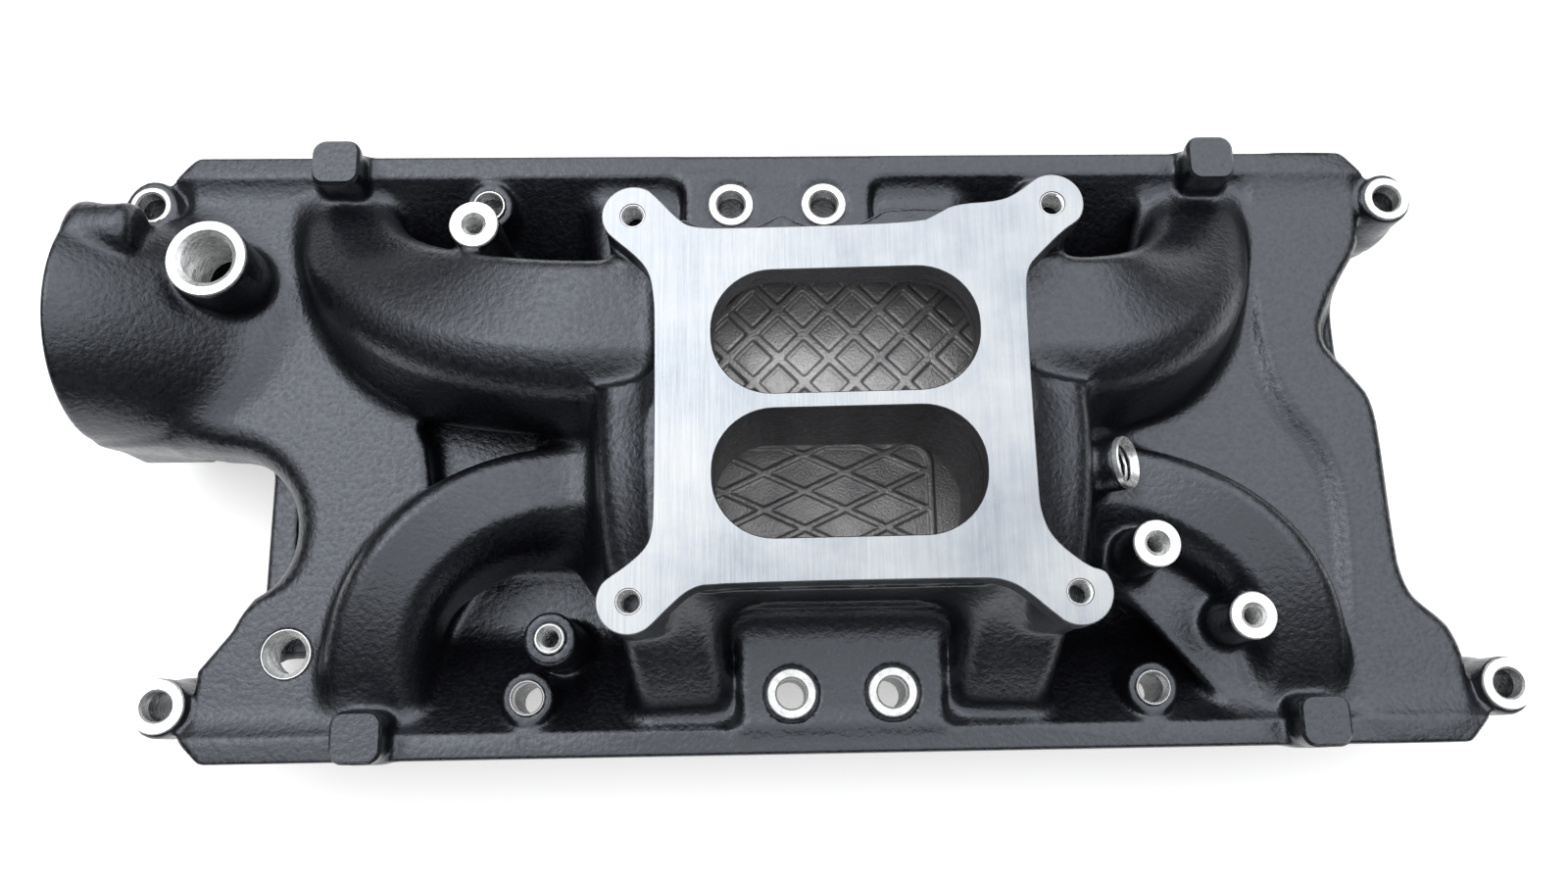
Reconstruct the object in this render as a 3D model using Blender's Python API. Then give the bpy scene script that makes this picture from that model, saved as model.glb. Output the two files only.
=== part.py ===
"""Dual-plane intake manifold of a 90-degree V8, a single aluminium casting.

Each named section of the casting is a solid of its own: the carburettor flange, the two
plenum levels, eight hollow runners, the head flanges, the water and exhaust crossovers, the
end rails and every boss. Neighbouring sections meet face to face across a small gap.

+X points to the rear of the engine, +Y to its passenger side and +Z up. The casting is
modelled from the point midway between the centres of the two banks, and is then moved so
that the origin lies midway along its length, on the plane of the end rails' undersides.
Lengths below are in millimetres; meshes are written in metres.
"""
import math

import bmesh
import bpy
from mathutils import Matrix, Vector

MM = 0.001
GAP = 0.3
DIAGONAL = math.sqrt(0.5)

# Engine layout
BORE_SPACING = 111.25
BANK_OFFSET = 10.0
BANKS = {"passenger": (1, -BANK_OFFSET), "driver": (-1, BANK_OFFSET)}
PORT_STEPS = (-1.5, -0.5, 0.5, 1.5)

# Head flanges: slabs whose head face lies at 45 degrees
FLANGE_OUTER_Y = 114.5
RAIL_Z = 71.0
RAIL_LEDGE = 9.0
FLANGE_EDGE = 9.0
FLANGE_FOOT_Z = 8.0
FACE_OFFSET = FLANGE_OUTER_Y - (RAIL_Z - FLANGE_EDGE)
BACK_OFFSET = FLANGE_OUTER_Y - RAIL_LEDGE - RAIL_Z
FLANGE_HALF_LENGTH = 224.0
FLANGE_EAR_RADIUS = 10.5
PORT_Y = 78.5
PORT_SIZE = (26.4, 49.3)
PORT_WALL = (4.8, 5.4)
WATER_PORT_STEP = 205.0
WATER_PORT_SIZE = (22.0, 34.0)
EXHAUST_PORT_SIZE = (28.0, 22.0)
EXHAUST_PORT_Y = 66.5

# Head bolts
BOLT_HOLE = 10.5
INNER_BOLT_STEPS = (-111.25, -18.0, 18.0, 101.6)
DRIVER_INNER_BOLT_STEPS = (-111.25, -18.0, 18.0, 111.25)
INNER_BOLT_Y = 93.3
INNER_BOSS_RADIUS = 9.3
OUTER_BOLT_STEP = 240.0
OUTER_BOLT_Y = 94.0
OUTER_BOSS_RADIUS = 9.8
BOLT_SEAT_Z = 71.5

# Carburettor flange
PAD_CENTRE = Vector((9.6, 0.0, 128.0))
PAD_TILT = math.radians(3.2)
PAD_THICKNESS = 12.0
PAD_HALF_X = (63.7, 60.5)
PAD_HALF_Y = 60.4
STUD_HALF = (71.44, 65.88)
EAR_RADIUS = 10.6
STUD_HOLE = 7.9
OPENING_HALF_LENGTH = 44.7
OPENING_RADIUS = 20.5
OPENING_Y = (23.2, -25.0)
OPENING_HALF_WIDTH = 21.5

# Plenum levels
CHAMBER_WALL = 4.0
UPPER_X = (-74.4, 95.6)
UPPER_Y = (1.3, 52.0)
UPPER_Z = (78.0, 112.4)
UPPER_FLOOR_Z = 82.0
LOWER_X = (-80.0, 86.0)
LOWER_Y = (-44.5, 52.0)
LOWER_Z = (42.0, 73.7)
LOWER_FLOOR_Z = 46.0
WELL_X = (-42.7, 61.9)
WELL_Y = (-50.0, -3.7)
DIVIDER_Y = (-3.4, 1.0)
FLOOR_PLATE = 2.4

# Runners
UPPER_RUNNER_HALF = (23.0, 16.0)
LOWER_RUNNER_HALF = (22.0, 15.5)
RUNNER_WALL = 4.6
RUNNER_STEPS = 8
WELL_CLEARANCE = 2.6
SKIN_OVERRUN = 1.5
SKIN_CLEARANCE = 0.9

# Decks, rails and crossovers
DECK_Z = (38.0, 68.0)
POCKET_Z = (38.0, 50.0)
REAR_DECK_Z = (59.0, 68.0)
RAIL_X = 201.7
RAIL_THICKNESS = 11.0
VALLEY_FLOOR_Z = (17.0, 21.0)
DISTRIBUTOR = (-219.3, -31.3)
DISTRIBUTOR_RADIUS = 30.0
CROSSOVER_Z = 31.6
CROSSOVER_HALF = (20.0, 10.0)
CROSSOVER_WALL = 3.5
BLOCK_HALF_LENGTH = 36.5
BLOCK_Y = (60.0, 105.0)
BLOCK_Z = (52.0, 71.5)

# Thermostat neck and ports
NECK_FACE_X = -265.3
NECK_BACK_X = -236.3
NECK_Y = 47.7
NECK_Z = 66.0
NECK_RADIUS = 45.0
NECK_BORE = 52.0
NECK_BOLT_STEP = (24.0, 25.0)
NECK_BOLT_HOLE = 8.0
NECK_WAY = (53.0, 10.0)
SHOULDER_SECTIONS = ((-236.0, 40.0, 108.0), (-228.0, 36.0, 100.0), (-216.0, 28.0, 84.0),
                     (-200.0, 16.0, 70.0))
HEATER_AT = (-215.6, 62.0)
HEATER_RADIUS = 14.5
HEATER_BORE = 9.7
HEATER_TOP = 98.0
SENDER_AT = (-187.6, -76.4)
SENDER_RADIUS = 11.0
SENDER_BORE = 6.6
SENDER_FOOT = 58.0
VACUUM_RADIUS = 9.5
VACUUM_BORE = 5.6
VACUUM_AT = Vector((95.9, -17.0, 84.0))
VACUUM_AXIS = Vector((0.77, 0.03, 0.64))

# Casting posts above the end ports
POST_SIZE = (18.0, 16.0)
POST_Y = 106.0
POST_Z = 84.0

# Stud bosses: name, place, top, radius
STUD_BOSSES = (
    ("stud_boss_front_passenger", (-120.4, 73.5), 100.0, 8.8),
    ("stud_boss_front_driver", (-91.4, -74.0), 88.0, 9.2),
    ("stud_boss_rear_driver_inner", (116.9, -46.3), 103.0, 8.3),
    ("stud_boss_rear_driver_outer", (150.8, -70.5), 95.0, 8.3),
)
STUD_BOSS_HOLE = 8.0
STUD_BOSS_HOLE_DEPTH = 18.0

# Outlines seen from above: (x, y) from the point midway between the bank centres
FRONT_STEP = ((-139.3, -19.4), (-140.1, -10.1), (-141.6, -0.8), (-145.7, 8.6), (-152.2, 16.2),
              (-159.0, 20.9))
FRONT_DECK_NECK_SIDE = ((-236.0, 110.0), (-236.0, 4.0), (-222.0, -0.6))
FRONT_DECK_DRIVER_SIDE = ((-208.0, -68.0), (-219.0, -82.0), (-219.0, -110.0), (-157.0, -110.0),
                          (-156.0, -62.0), (-134.0, -36.0))
FRONT_DECK_PASSENGER_SIDE = ((-166.0, 30.0), (-168.0, 52.0), (-176.0, 80.0), (-176.0, 110.0))
FRONT_POCKET_REST = ((-159.0, 40.0), (-130.0, 30.0), (-84.0, 20.0), (-84.0, -18.0), (-130.0, -34.0))
REAR_DECK = ((218.0, 110.0), (218.0, 78.0), (205.2, 59.7), (197.5, 43.8), (198.2, 33.8), (213.2, 16.1),
             (215.5, 4.5), (215.8, -49.8), (219.6, -62.5), (232.0, -73.0), (236.0, -84.0),
             (236.0, -110.0), (177.0, -110.0), (176.0, -62.0), (150.0, -32.0), (98.0, -18.0),
             (98.0, 20.0), (126.0, 30.0), (150.0, 52.0), (157.0, 80.0), (157.0, 110.0))
DISTRIBUTOR_ANGLES = (80.0, -55.0)

# Water passage inside the front deck, from the passenger port to the driver port
WATER_WAY = ((-215.0, 88.0, 54.0), (-214.0, 62.0, 53.0), (-205.0, 30.0, 53.0), (-180.0, 2.0, 53.0),
             (-173.0, -30.0, 53.0), (-180.0, -56.0, 53.0), (-195.0, -88.0, 54.0))
WATER_WAY_HALF = (10.5, 9.5)
CROSSOVER_STATIONS = (44.0, 20.0, -20.0, -44.0)

# Sizes of the cutting tools: each reaches well past the part it cuts
CUT_REACH = 320.0
CUT_TOP = 140.0
CUT_SPARE = 5.0

COATED = "satin_black_coated_casting"
MACHINED = "machined_aluminium"


def clear_scene():
    for item in list(bpy.data.objects):
        bpy.data.objects.remove(item, do_unlink=True)


def make_material(name, colour, roughness, metallic):
    material = bpy.data.materials.new(name)
    material.use_nodes = True
    shader = material.node_tree.nodes["Principled BSDF"]
    shader.inputs["Base Color"].default_value = (*colour, 1.0)
    shader.inputs["Roughness"].default_value = roughness
    shader.inputs["Metallic"].default_value = metallic
    return material


def add_object(name, bm):
    bmesh.ops.recalc_face_normals(bm, faces=bm.faces)
    mesh = bpy.data.meshes.new(name)
    bm.to_mesh(mesh)
    bm.free()
    mesh.transform(Matrix.Scale(MM, 4))
    item = bpy.data.objects.new(name, mesh)
    bpy.context.scene.collection.objects.link(item)
    return item


def finish(item, material_name):
    item.data.materials.append(bpy.data.materials[material_name])
    item.data.shade_smooth()
    item.data.set_sharp_from_angle(angle=math.radians(35))


def as_cutter(item):
    item.hide_render = True
    item.display_type = "WIRE"
    return item


def combine(item, other, operation="DIFFERENCE"):
    modifier = item.modifiers.new(f"{operation.lower()}_{other.name}", "BOOLEAN")
    modifier.operation = operation
    modifier.object = other
    modifier.solver = "EXACT"


def cut(item, *cutters):
    for cutter in cutters:
        combine(item, as_cutter(cutter))


# ---------------------------------------------------------------- basic solids


def loft(loops):
    """Closed solid through loops of equal length, with a cap on each end."""
    bm = bmesh.new()
    rings = [[bm.verts.new(point) for point in loop] for loop in loops]
    for ring, following in zip(rings, rings[1:]):
        bm_strip(bm, ring, following)
    bm.faces.new(rings[0])
    bm.faces.new(rings[-1])
    bmesh.ops.triangulate(bm, faces=bm.faces)
    return bm


def bm_strip(bm, ring, following):
    count = len(ring)
    for i in range(count):
        j = (i + 1) % count
        bm.faces.new((ring[i], ring[j], following[j], following[i]))


def prism_z(name, outline, bottom, top):
    loops = [[Vector((x, y, z)) for x, y in outline] for z in (bottom, top)]
    return add_object(name, loft(loops))


def prism_x(name, profile, start, end):
    loops = [[Vector((x, y, z)) for y, z in profile] for x in (start, end)]
    return add_object(name, loft(loops))


def box(name, x, y, z):
    outline = [(x[0], y[0]), (x[1], y[0]), (x[1], y[1]), (x[0], y[1])]
    return prism_z(name, outline, z[0], z[1])


def circle(centre, radius, count, start=0.0, sweep=2 * math.pi):
    """Points on a circle, or on an arc of it when sweep is under a full turn."""
    full = sweep >= 2 * math.pi
    steps = count if full else count - 1
    points = []
    for i in range(count):
        angle = start + sweep * i / steps
        points.append((centre[0] + radius * math.cos(angle), centre[1] + radius * math.sin(angle)))
    return points


def cylinder(name, centre, radius, bottom, top, count=20):
    return prism_z(name, circle(centre, radius, count), bottom, top)


def axial_ring(origin, axis, radius, count):
    side = axis.cross(Vector((0, 0, 1))).normalized()
    upward = side.cross(axis).normalized()
    return [origin + side * (radius * c) + upward * (radius * s)
            for c, s in circle((0, 0), 1.0, count)]


def rod(name, start, axis, length, radius, count=20):
    direction = axis.normalized()
    loops = [axial_ring(start, direction, radius, count),
             axial_ring(start + direction * length, direction, radius, count)]
    return add_object(name, loft(loops))


# ---------------------------------------------------------------- swept tubes


def section(centre, across, upward, half, corner=0.62, arc=3):
    """Rounded rectangle around centre; half is (half width, half height)."""
    radius = corner * min(half)
    points = []
    for quadrant, (sx, sy) in enumerate(((1, 1), (-1, 1), (-1, -1), (1, -1))):
        for step in range(arc + 1):
            angle = (quadrant + step / arc) * math.pi / 2
            a = sx * (half[0] - radius) + radius * math.cos(angle)
            b = sy * (half[1] - radius) + radius * math.sin(angle)
            points.append(centre + across * a + upward * b)
    return points


def bezier(points, t):
    a, b, c, d = points
    u = 1 - t
    return a * u ** 3 + b * (3 * u * u * t) + c * (3 * u * t * t) + d * t ** 3


def runner_loops(path, start_normal, end_side, start_half, end_half, grow=0.0):
    """Sections from a plenum wall to the back of a head flange.

    The first section lies in the plenum wall, the last one in the flange's back plane.
    """
    end_normal = Vector((0, end_side * DIAGONAL, -DIAGONAL))
    end_up = Vector((0, end_side * DIAGONAL, DIAGONAL))
    loops = []
    for step in range(RUNNER_STEPS + 1):
        t = step / RUNNER_STEPS
        along = start_normal.slerp(end_normal, t)
        upward = Vector((0, 0, 1)).lerp(end_up, t * t)
        upward = (upward - along * upward.dot(along)).normalized()
        across = along.cross(upward).normalized()
        half = tuple(s + (e - s) * t * t + grow for s, e in zip(start_half, end_half))
        loops.append(section(bezier(path, t), across, upward, half))
    return loops


def hollow(outer_loops, inner_loops):
    """Tube between two sets of loops, with a flat ring at each end."""
    bm = bmesh.new()
    outer = [[bm.verts.new(p) for p in loop] for loop in outer_loops]
    inner = [[bm.verts.new(p) for p in loop] for loop in inner_loops]
    for rings in (outer, inner):
        for ring, following in zip(rings, rings[1:]):
            bm_strip(bm, ring, following)
    bm_strip(bm, outer[0], inner[0])
    bm_strip(bm, outer[-1], inner[-1])
    bmesh.ops.triangulate(bm, faces=bm.faces)
    return bm


# ---------------------------------------------------------------- runners


def port_x(bank, index):
    return BANKS[bank][1] + PORT_STEPS[index] * BORE_SPACING


def back_plane_point(side, x, y, clearance=GAP):
    """Point just inside the flange's back plane at a distance y from the middle."""
    shift = clearance * DIAGONAL
    return Vector((x, side * (y - shift), y - BACK_OFFSET + shift))


RUNNER_NAMES = ("front_outer", "front_inner", "rear_inner", "rear_outer")


def runner_plan():
    """Name, path, first normal, side and first section of each of the eight runners."""
    plans = []
    for bank, (side, _) in BANKS.items():
        for index, place in enumerate(RUNNER_NAMES):
            end = back_plane_point(side, port_x(bank, index), PORT_Y)
            towards = -1 if index < 2 else 1
            outer = place.endswith("outer")
            upper = outer == (bank == "passenger")
            if outer:
                plan = outer_path(end, side, towards, upper)
            elif upper:
                plan = upper_inner_path(end, towards)
            else:
                plan = lower_inner_path(end, towards)
            plans.append((f"runner_{bank}_{place}", side, *plan))
    return plans


def outer_path(end, side, towards, upper):
    """Long runner that leaves the plenum's end wall and curves round to its port."""
    wall = (UPPER_X if upper else LOWER_X)[0 if towards < 0 else 1]
    level = 95.4 if upper else 58.0
    start_y = 27.0 if upper else 24.0
    start = Vector((wall + towards * GAP, side * start_y, level))
    reach = abs(end.x - start.x)
    rise = 0.0 if upper else 10.0
    first = start + Vector((towards * reach * 0.52, 0, rise))
    second = end + Vector((-towards * 3.0, -side * 30.0, 28.0))
    half = UPPER_RUNNER_HALF if upper else LOWER_RUNNER_HALF
    return (start, first, second, end), Vector((towards, 0, 0)), half


def upper_inner_path(end, towards):
    """Runner that passes beside the driver half's well and dips to a driver port."""
    outer_wall = UPPER_X[0 if towards < 0 else 1]
    inner_wall = WELL_X[0 if towards < 0 else 1] + towards * WELL_CLEARANCE
    half = (abs(outer_wall - inner_wall) / 2, UPPER_RUNNER_HALF[1])
    start = Vector(((outer_wall + inner_wall) / 2, UPPER_Y[0] - GAP, 95.4))
    first = start + Vector((0, -70.0, 6.0))
    second = Vector((start.x, end.y + 5.0, end.z + 28.0))
    return (start, first, second, end), Vector((0, -1, 0)), half


def lower_inner_path(end, towards):
    """Short runner from the lower chamber, under the upper floor, to a passenger port."""
    start_x = end.x + (3.6 if towards < 0 else 0.0)
    start = Vector((start_x, LOWER_Y[1] + GAP, 57.8))
    first = start + Vector((0, 9.0, 0))
    second = end + Vector((0, -10.0, 10.0))
    return (start, first, second, end), Vector((0, 1, 0)), (16.0, 15.0)


def port_half(inner):
    spare = (0.0, 0.0) if inner else PORT_WALL
    return tuple(size / 2 + extra for size, extra in zip(PORT_SIZE, spare))


def runner_skin(name, plan, grow):
    """Solid as large as a runner's outside plus grow, for cutting its neighbours."""
    side, path, normal, half = plan
    loops = runner_loops(path, normal, side, half, port_half(False), grow)
    end_normal = Vector((0, side * DIAGONAL, -DIAGONAL))
    loops[0] = [point - normal * SKIN_OVERRUN for point in loops[0]]
    loops[-1] = [point + end_normal * SKIN_OVERRUN for point in loops[-1]]
    return as_cutter(add_object(name, loft(loops)))


def build_runners():
    for name, side, path, normal, half in runner_plan():
        outer = runner_loops(path, normal, side, half, port_half(False))
        inner_half = tuple(h - RUNNER_WALL for h in half)
        inner = runner_loops(path, normal, side, inner_half, port_half(True))
        finish(add_object(name, hollow(outer, inner)), COATED)


# ---------------------------------------------------------------- head flanges


def inside_flange_cutter(name, side, start=-CUT_REACH, end=CUT_REACH):
    """Everything outward of a flange's back plane, less the gap, from start to end along X."""
    shift = BACK_OFFSET - GAP / DIAGONAL
    profile = [(side * shift, 0.0), (side * (CUT_TOP + shift), CUT_TOP),
               (side * CUT_REACH, CUT_TOP), (side * CUT_REACH, 0.0)]
    return prism_x(name, profile, start, end)


def ear_arc(ear, end, side):
    """Arc round an ear from its inner flank, past its tip, to its outer flank."""
    turns = circle((0, 0), FLANGE_EAR_RADIUS, 9, math.radians(-80), math.radians(200))
    return [(ear[0] + end * along, ear[1] + side * across) for along, across in turns]


def flange_outline(side, bank_x):
    """Plan outline with an ear round each end bolt."""
    points = []
    for end in (-1, 1):
        ear = (bank_x + end * OUTER_BOLT_STEP, side * OUTER_BOLT_Y)
        foot = (bank_x + end * (FLANGE_HALF_LENGTH + 1), side * 40.0)
        neck = (bank_x + end * (OUTER_BOLT_STEP - 11.0), side * 82.0)
        corner = (bank_x + end * FLANGE_HALF_LENGTH, side * (FLANGE_OUTER_Y + 1))
        group = [foot, neck, *ear_arc(ear, end, side), corner]
        points += group if end < 0 else group[::-1]
    return points


def slab_profile(side):
    top = FLANGE_OUTER_Y
    foot_face = FLANGE_FOOT_Z + FACE_OFFSET
    foot_back = (foot_face + FLANGE_FOOT_Z + BACK_OFFSET) / 2
    return [(side * y, z) for y, z in (
        (top, RAIL_Z), (top, RAIL_Z - FLANGE_EDGE), (foot_face, FLANGE_FOOT_Z),
        (foot_back, foot_back - BACK_OFFSET), (top - RAIL_LEDGE, RAIL_Z))]


def port_cutter(name, side, x, y, size):
    """Rounded hole square to the head face, centred on y in the flange's back plane."""
    through = Vector((0, side * DIAGONAL, -DIAGONAL))
    upward = Vector((0, side * DIAGONAL, DIAGONAL))
    centre = back_plane_point(side, x, y, 0.0)
    half = (size[0] / 2, size[1] / 2)
    reach = RAIL_LEDGE + FLANGE_EDGE
    loops = [section(centre + through * step, Vector((1, 0, 0)), upward, half)
             for step in (-reach / 2, reach)]
    return add_object(name, loft(loops))


def bolt_places(bank):
    """Plan positions of one bank's four inner and two outer head bolts."""
    side, bank_x = BANKS[bank]
    steps = INNER_BOLT_STEPS if bank == "passenger" else DRIVER_INNER_BOLT_STEPS
    inner = [(bank_x + step, side * INNER_BOLT_Y) for step in steps]
    outer = [(bank_x + end * OUTER_BOLT_STEP, side * OUTER_BOLT_Y) for end in (-1, 1)]
    return inner, outer


def bolt_hole(name, place):
    return cylinder(name, place, BOLT_HOLE / 2, 0.0, CUT_TOP, 16)


def build_head_flange(bank):
    side, bank_x = BANKS[bank]
    flange = prism_x(f"head_flange_{bank}", slab_profile(side), -CUT_REACH, CUT_REACH)
    outline = prism_z(f"outline_{bank}", flange_outline(side, bank_x), -CUT_SPARE, CUT_TOP)
    combine(flange, as_cutter(outline), "INTERSECT")
    for index in range(4):
        cut(flange, port_cutter(f"cut_port_{bank}_{index}", side, port_x(bank, index),
                                PORT_Y, PORT_SIZE))
    for end in (-1, 1):
        cut(flange, port_cutter(f"cut_water_{bank}_{end}", side,
                                bank_x + end * WATER_PORT_STEP, PORT_Y, WATER_PORT_SIZE))
    cut(flange, port_cutter(f"cut_exhaust_{bank}", side, bank_x, EXHAUST_PORT_Y,
                            EXHAUST_PORT_SIZE))
    inner, outer = bolt_places(bank)
    for index, place in enumerate(inner + outer):
        cut(flange, bolt_hole(f"cut_flange_bolt_{bank}_{index}", place))
    finish(flange, COATED)


def build_bolt_bosses(bank):
    side, _ = BANKS[bank]
    inner, outer = bolt_places(bank)
    named = [("front_inner", inner[0], INNER_BOSS_RADIUS), ("rear_inner", inner[3], INNER_BOSS_RADIUS),
             ("front_outer", outer[0], OUTER_BOSS_RADIUS), ("rear_outer", outer[1], OUTER_BOSS_RADIUS)]
    for place_name, place, radius in named:
        name = f"bolt_boss_{bank}_{place_name}"
        boss = cylinder(name, place, radius, 30.0, BOLT_SEAT_Z)
        cut(boss, inside_flange_cutter(f"cut_base_{name}", side), bolt_hole(f"cut_hole_{name}", place))
        finish(boss, COATED)


def build_posts(bank):
    side, _ = BANKS[bank]
    half_x, half_y = POST_SIZE[0] / 2, POST_SIZE[1] / 2
    for place_name, index in (("front", 0), ("rear", 3)):
        x = port_x(bank, index)
        outline = [(x + sx * half_x, side * POST_Y + sy * half_y)
                   for sx, sy in ((-1, -1), (1, -1), (1, 1), (-1, 1))]
        post = prism_z(f"casting_post_{bank}_{place_name}", outline, RAIL_Z + GAP, POST_Z)
        finish(post, COATED)


# ---------------------------------------------------------------- carburettor flange


def tilted(item):
    """Lay an object made flat at the origin onto the carburettor flange's plane."""
    turn = Matrix.Rotation(-PAD_TILT, 4, "Y")
    item.matrix_world = Matrix.Translation(PAD_CENTRE * MM) @ turn
    return item


def pad_outline():
    """Square body with a round-ended ear at each corner."""
    points = []
    for sx, sy in ((1, 1), (-1, 1), (-1, -1), (1, -1)):
        half_x = PAD_HALF_X[1] if sx > 0 else PAD_HALF_X[0]
        ear = (sx * STUD_HALF[0], sy * STUD_HALF[1])
        body = (sx * half_x, sy * (PAD_HALF_Y - 20.0))
        shoulder = (sx * (half_x - 18.0), sy * PAD_HALF_Y)
        turns = circle((0, 0), EAR_RADIUS, 9, math.radians(-45), math.pi)
        arc = [(ear[0] + sx * along, ear[1] + sy * across) for along, across in turns]
        group = [body, *arc, shoulder]
        points += group if sx * sy > 0 else group[::-1]
    return points


def stadium(centre_y):
    """Plan outline of one carburettor opening: straight sides and large round corners."""
    points = []
    corner_x = OPENING_HALF_LENGTH - OPENING_RADIUS
    corner_y = OPENING_HALF_WIDTH - OPENING_RADIUS
    for quadrant, (sx, sy) in enumerate(((1, 1), (-1, 1), (-1, -1), (1, -1))):
        for step in range(6):
            angle = (quadrant + step / 5) * math.pi / 2
            points.append((sx * corner_x + OPENING_RADIUS * math.cos(angle),
                           centre_y + sy * corner_y + OPENING_RADIUS * math.sin(angle)))
    return points


def build_carburettor_flange():
    flange = tilted(prism_z("carburetor_flange", pad_outline(), -PAD_THICKNESS, 0.0))
    for index, centre_y in enumerate(OPENING_Y):
        opening = prism_z(f"cut_opening_{index}", stadium(centre_y), -PAD_THICKNESS - CUT_SPARE, CUT_SPARE)
        cut(flange, tilted(opening))
    for index, (sx, sy) in enumerate(((1, 1), (-1, 1), (-1, -1), (1, -1))):
        place = (sx * STUD_HALF[0], sy * STUD_HALF[1])
        hole = cylinder(f"cut_stud_{index}", place, STUD_HOLE / 2, -PAD_THICKNESS - CUT_SPARE,
                        CUT_SPARE, 12)
        cut(flange, tilted(hole))
    finish(flange, MACHINED)


def above_pad_cutter(name):
    """Everything above the carburettor flange's underside, less the gap."""
    half = CUT_TOP
    outline = [(-half, -half), (half, -half), (half, half), (-half, half)]
    return tilted(prism_z(name, outline, -PAD_THICKNESS - GAP, CUT_TOP))


# ---------------------------------------------------------------- plenum


def inset(span, amount):
    return (span[0] + amount, span[1] - amount)


def build_upper_chamber():
    chamber = box("plenum_upper_chamber", UPPER_X, UPPER_Y, (UPPER_Z[0], PAD_CENTRE.z - CUT_SPARE))
    roof = box("cut_upper_roof", (-CUT_REACH, PAD_CENTRE.x - PAD_HALF_X[0]), (-CUT_REACH, CUT_REACH),
               (UPPER_Z[1], CUT_TOP))
    cavity_x, cavity_y = inset(UPPER_X, CHAMBER_WALL), inset(UPPER_Y, CHAMBER_WALL)
    cavity = box("cut_upper_cavity", cavity_x, cavity_y, (UPPER_FLOOR_Z, UPPER_Z[1] - CHAMBER_WALL))
    throat_half = OPENING_HALF_LENGTH + CHAMBER_WALL
    throat_x = (PAD_CENTRE.x - throat_half, PAD_CENTRE.x + throat_half)
    throat = box("cut_upper_throat", throat_x, cavity_y, (UPPER_FLOOR_Z, CUT_TOP))
    cut(chamber, above_pad_cutter("cut_upper_top"), roof, cavity, throat)
    cut(chamber, *runner_mouths("upper", "x"), *runner_mouths("upper", "y"))
    finish(chamber, COATED)


def runner_mouths(level, axis):
    """Openings through a chamber's walls, as large as the bores of the runners it feeds."""
    mouths = []
    for name, _, path, normal, half in runner_plan():
        outer = name.endswith("outer")
        upper = outer == ("passenger" in name)
        if upper != (level == "upper") or outer != (axis == "x"):
            continue
        across = normal.cross(Vector((0, 0, 1)))
        bore = tuple(h - RUNNER_WALL for h in half)
        loops = [section(path[0] + normal * step, across, Vector((0, 0, 1)), bore)
                 for step in (-CHAMBER_WALL - 2 * GAP, GAP)]
        mouths.append(add_object(f"cut_mouth_{name}", loft(loops)))
    return mouths


def build_lower_chamber():
    chamber = box("plenum_lower_chamber", LOWER_X, LOWER_Y, LOWER_Z)
    cavity_x, cavity_y = inset(LOWER_X, CHAMBER_WALL), inset(LOWER_Y, CHAMBER_WALL)
    cavity = box("cut_lower_cavity", cavity_x, cavity_y, (LOWER_FLOOR_Z, LOWER_Z[1] - CHAMBER_WALL))
    throat = box("cut_lower_throat", inset(WELL_X, CHAMBER_WALL),
                 (WELL_Y[0] + CHAMBER_WALL, WELL_Y[1]), (LOWER_FLOOR_Z, CUT_TOP))
    cut(chamber, cavity, throat, *runner_mouths("lower", "x"), *runner_mouths("lower", "y"))
    finish(chamber, COATED)


def build_well():
    """Three walls that carry the driver half of the carburettor down to the lower level."""
    well = box("plenum_well", WELL_X, WELL_Y, (LOWER_Z[1] + GAP, CUT_TOP))
    throat = box("cut_well_throat", inset(WELL_X, CHAMBER_WALL),
                 (WELL_Y[0] + CHAMBER_WALL, CUT_REACH), (0.0, CUT_TOP + CUT_SPARE))
    cut(well, throat, above_pad_cutter("cut_well_top"))
    finish(well, COATED)


def build_divider():
    divider = box("plenum_divider", WELL_X, DIVIDER_Y, (LOWER_Z[1] + GAP, CUT_TOP))
    cut(divider, above_pad_cutter("cut_divider_top"))
    finish(divider, COATED)


def build_floor_plates():
    upper = box("plenum_upper_floor", inset(UPPER_X, CHAMBER_WALL + GAP),
                inset(UPPER_Y, CHAMBER_WALL + GAP), (UPPER_FLOOR_Z + GAP, UPPER_FLOOR_Z + FLOOR_PLATE))
    lower = box("plenum_lower_floor", inset(LOWER_X, CHAMBER_WALL + GAP),
                inset(LOWER_Y, CHAMBER_WALL + GAP), (LOWER_FLOOR_Z + GAP, LOWER_FLOOR_Z + FLOOR_PLATE))
    for plate in (upper, lower):
        finish(plate, COATED)


# ---------------------------------------------------------------- decks and rails


def distributor_arc():
    start, stop = (math.radians(angle) for angle in DISTRIBUTOR_ANGLES)
    return circle(DISTRIBUTOR, DISTRIBUTOR_RADIUS, 9, start, stop - start)


def front_deck_outline():
    return [*FRONT_DECK_NECK_SIDE, *distributor_arc(), *FRONT_DECK_DRIVER_SIDE, *FRONT_STEP,
            *FRONT_DECK_PASSENGER_SIDE]


def front_pocket_outline():
    return [*((x + GAP, y) for x, y in FRONT_STEP), *FRONT_POCKET_REST]


def neighbours(label, names, grow=SKIN_CLEARANCE):
    plans = {name: plan for name, *plan in runner_plan()}
    return [runner_skin(f"skin_{label}_{name}", plans[name], grow) for name in names]


def outer_boss_cutter(name, bank, end):
    side, bank_x = BANKS[bank]
    place = (bank_x + end * OUTER_BOLT_STEP, side * OUTER_BOLT_Y)
    return cylinder(name, place, OUTER_BOSS_RADIUS + 4 * GAP, 0.0, RAIL_Z + 1.0)


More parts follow.
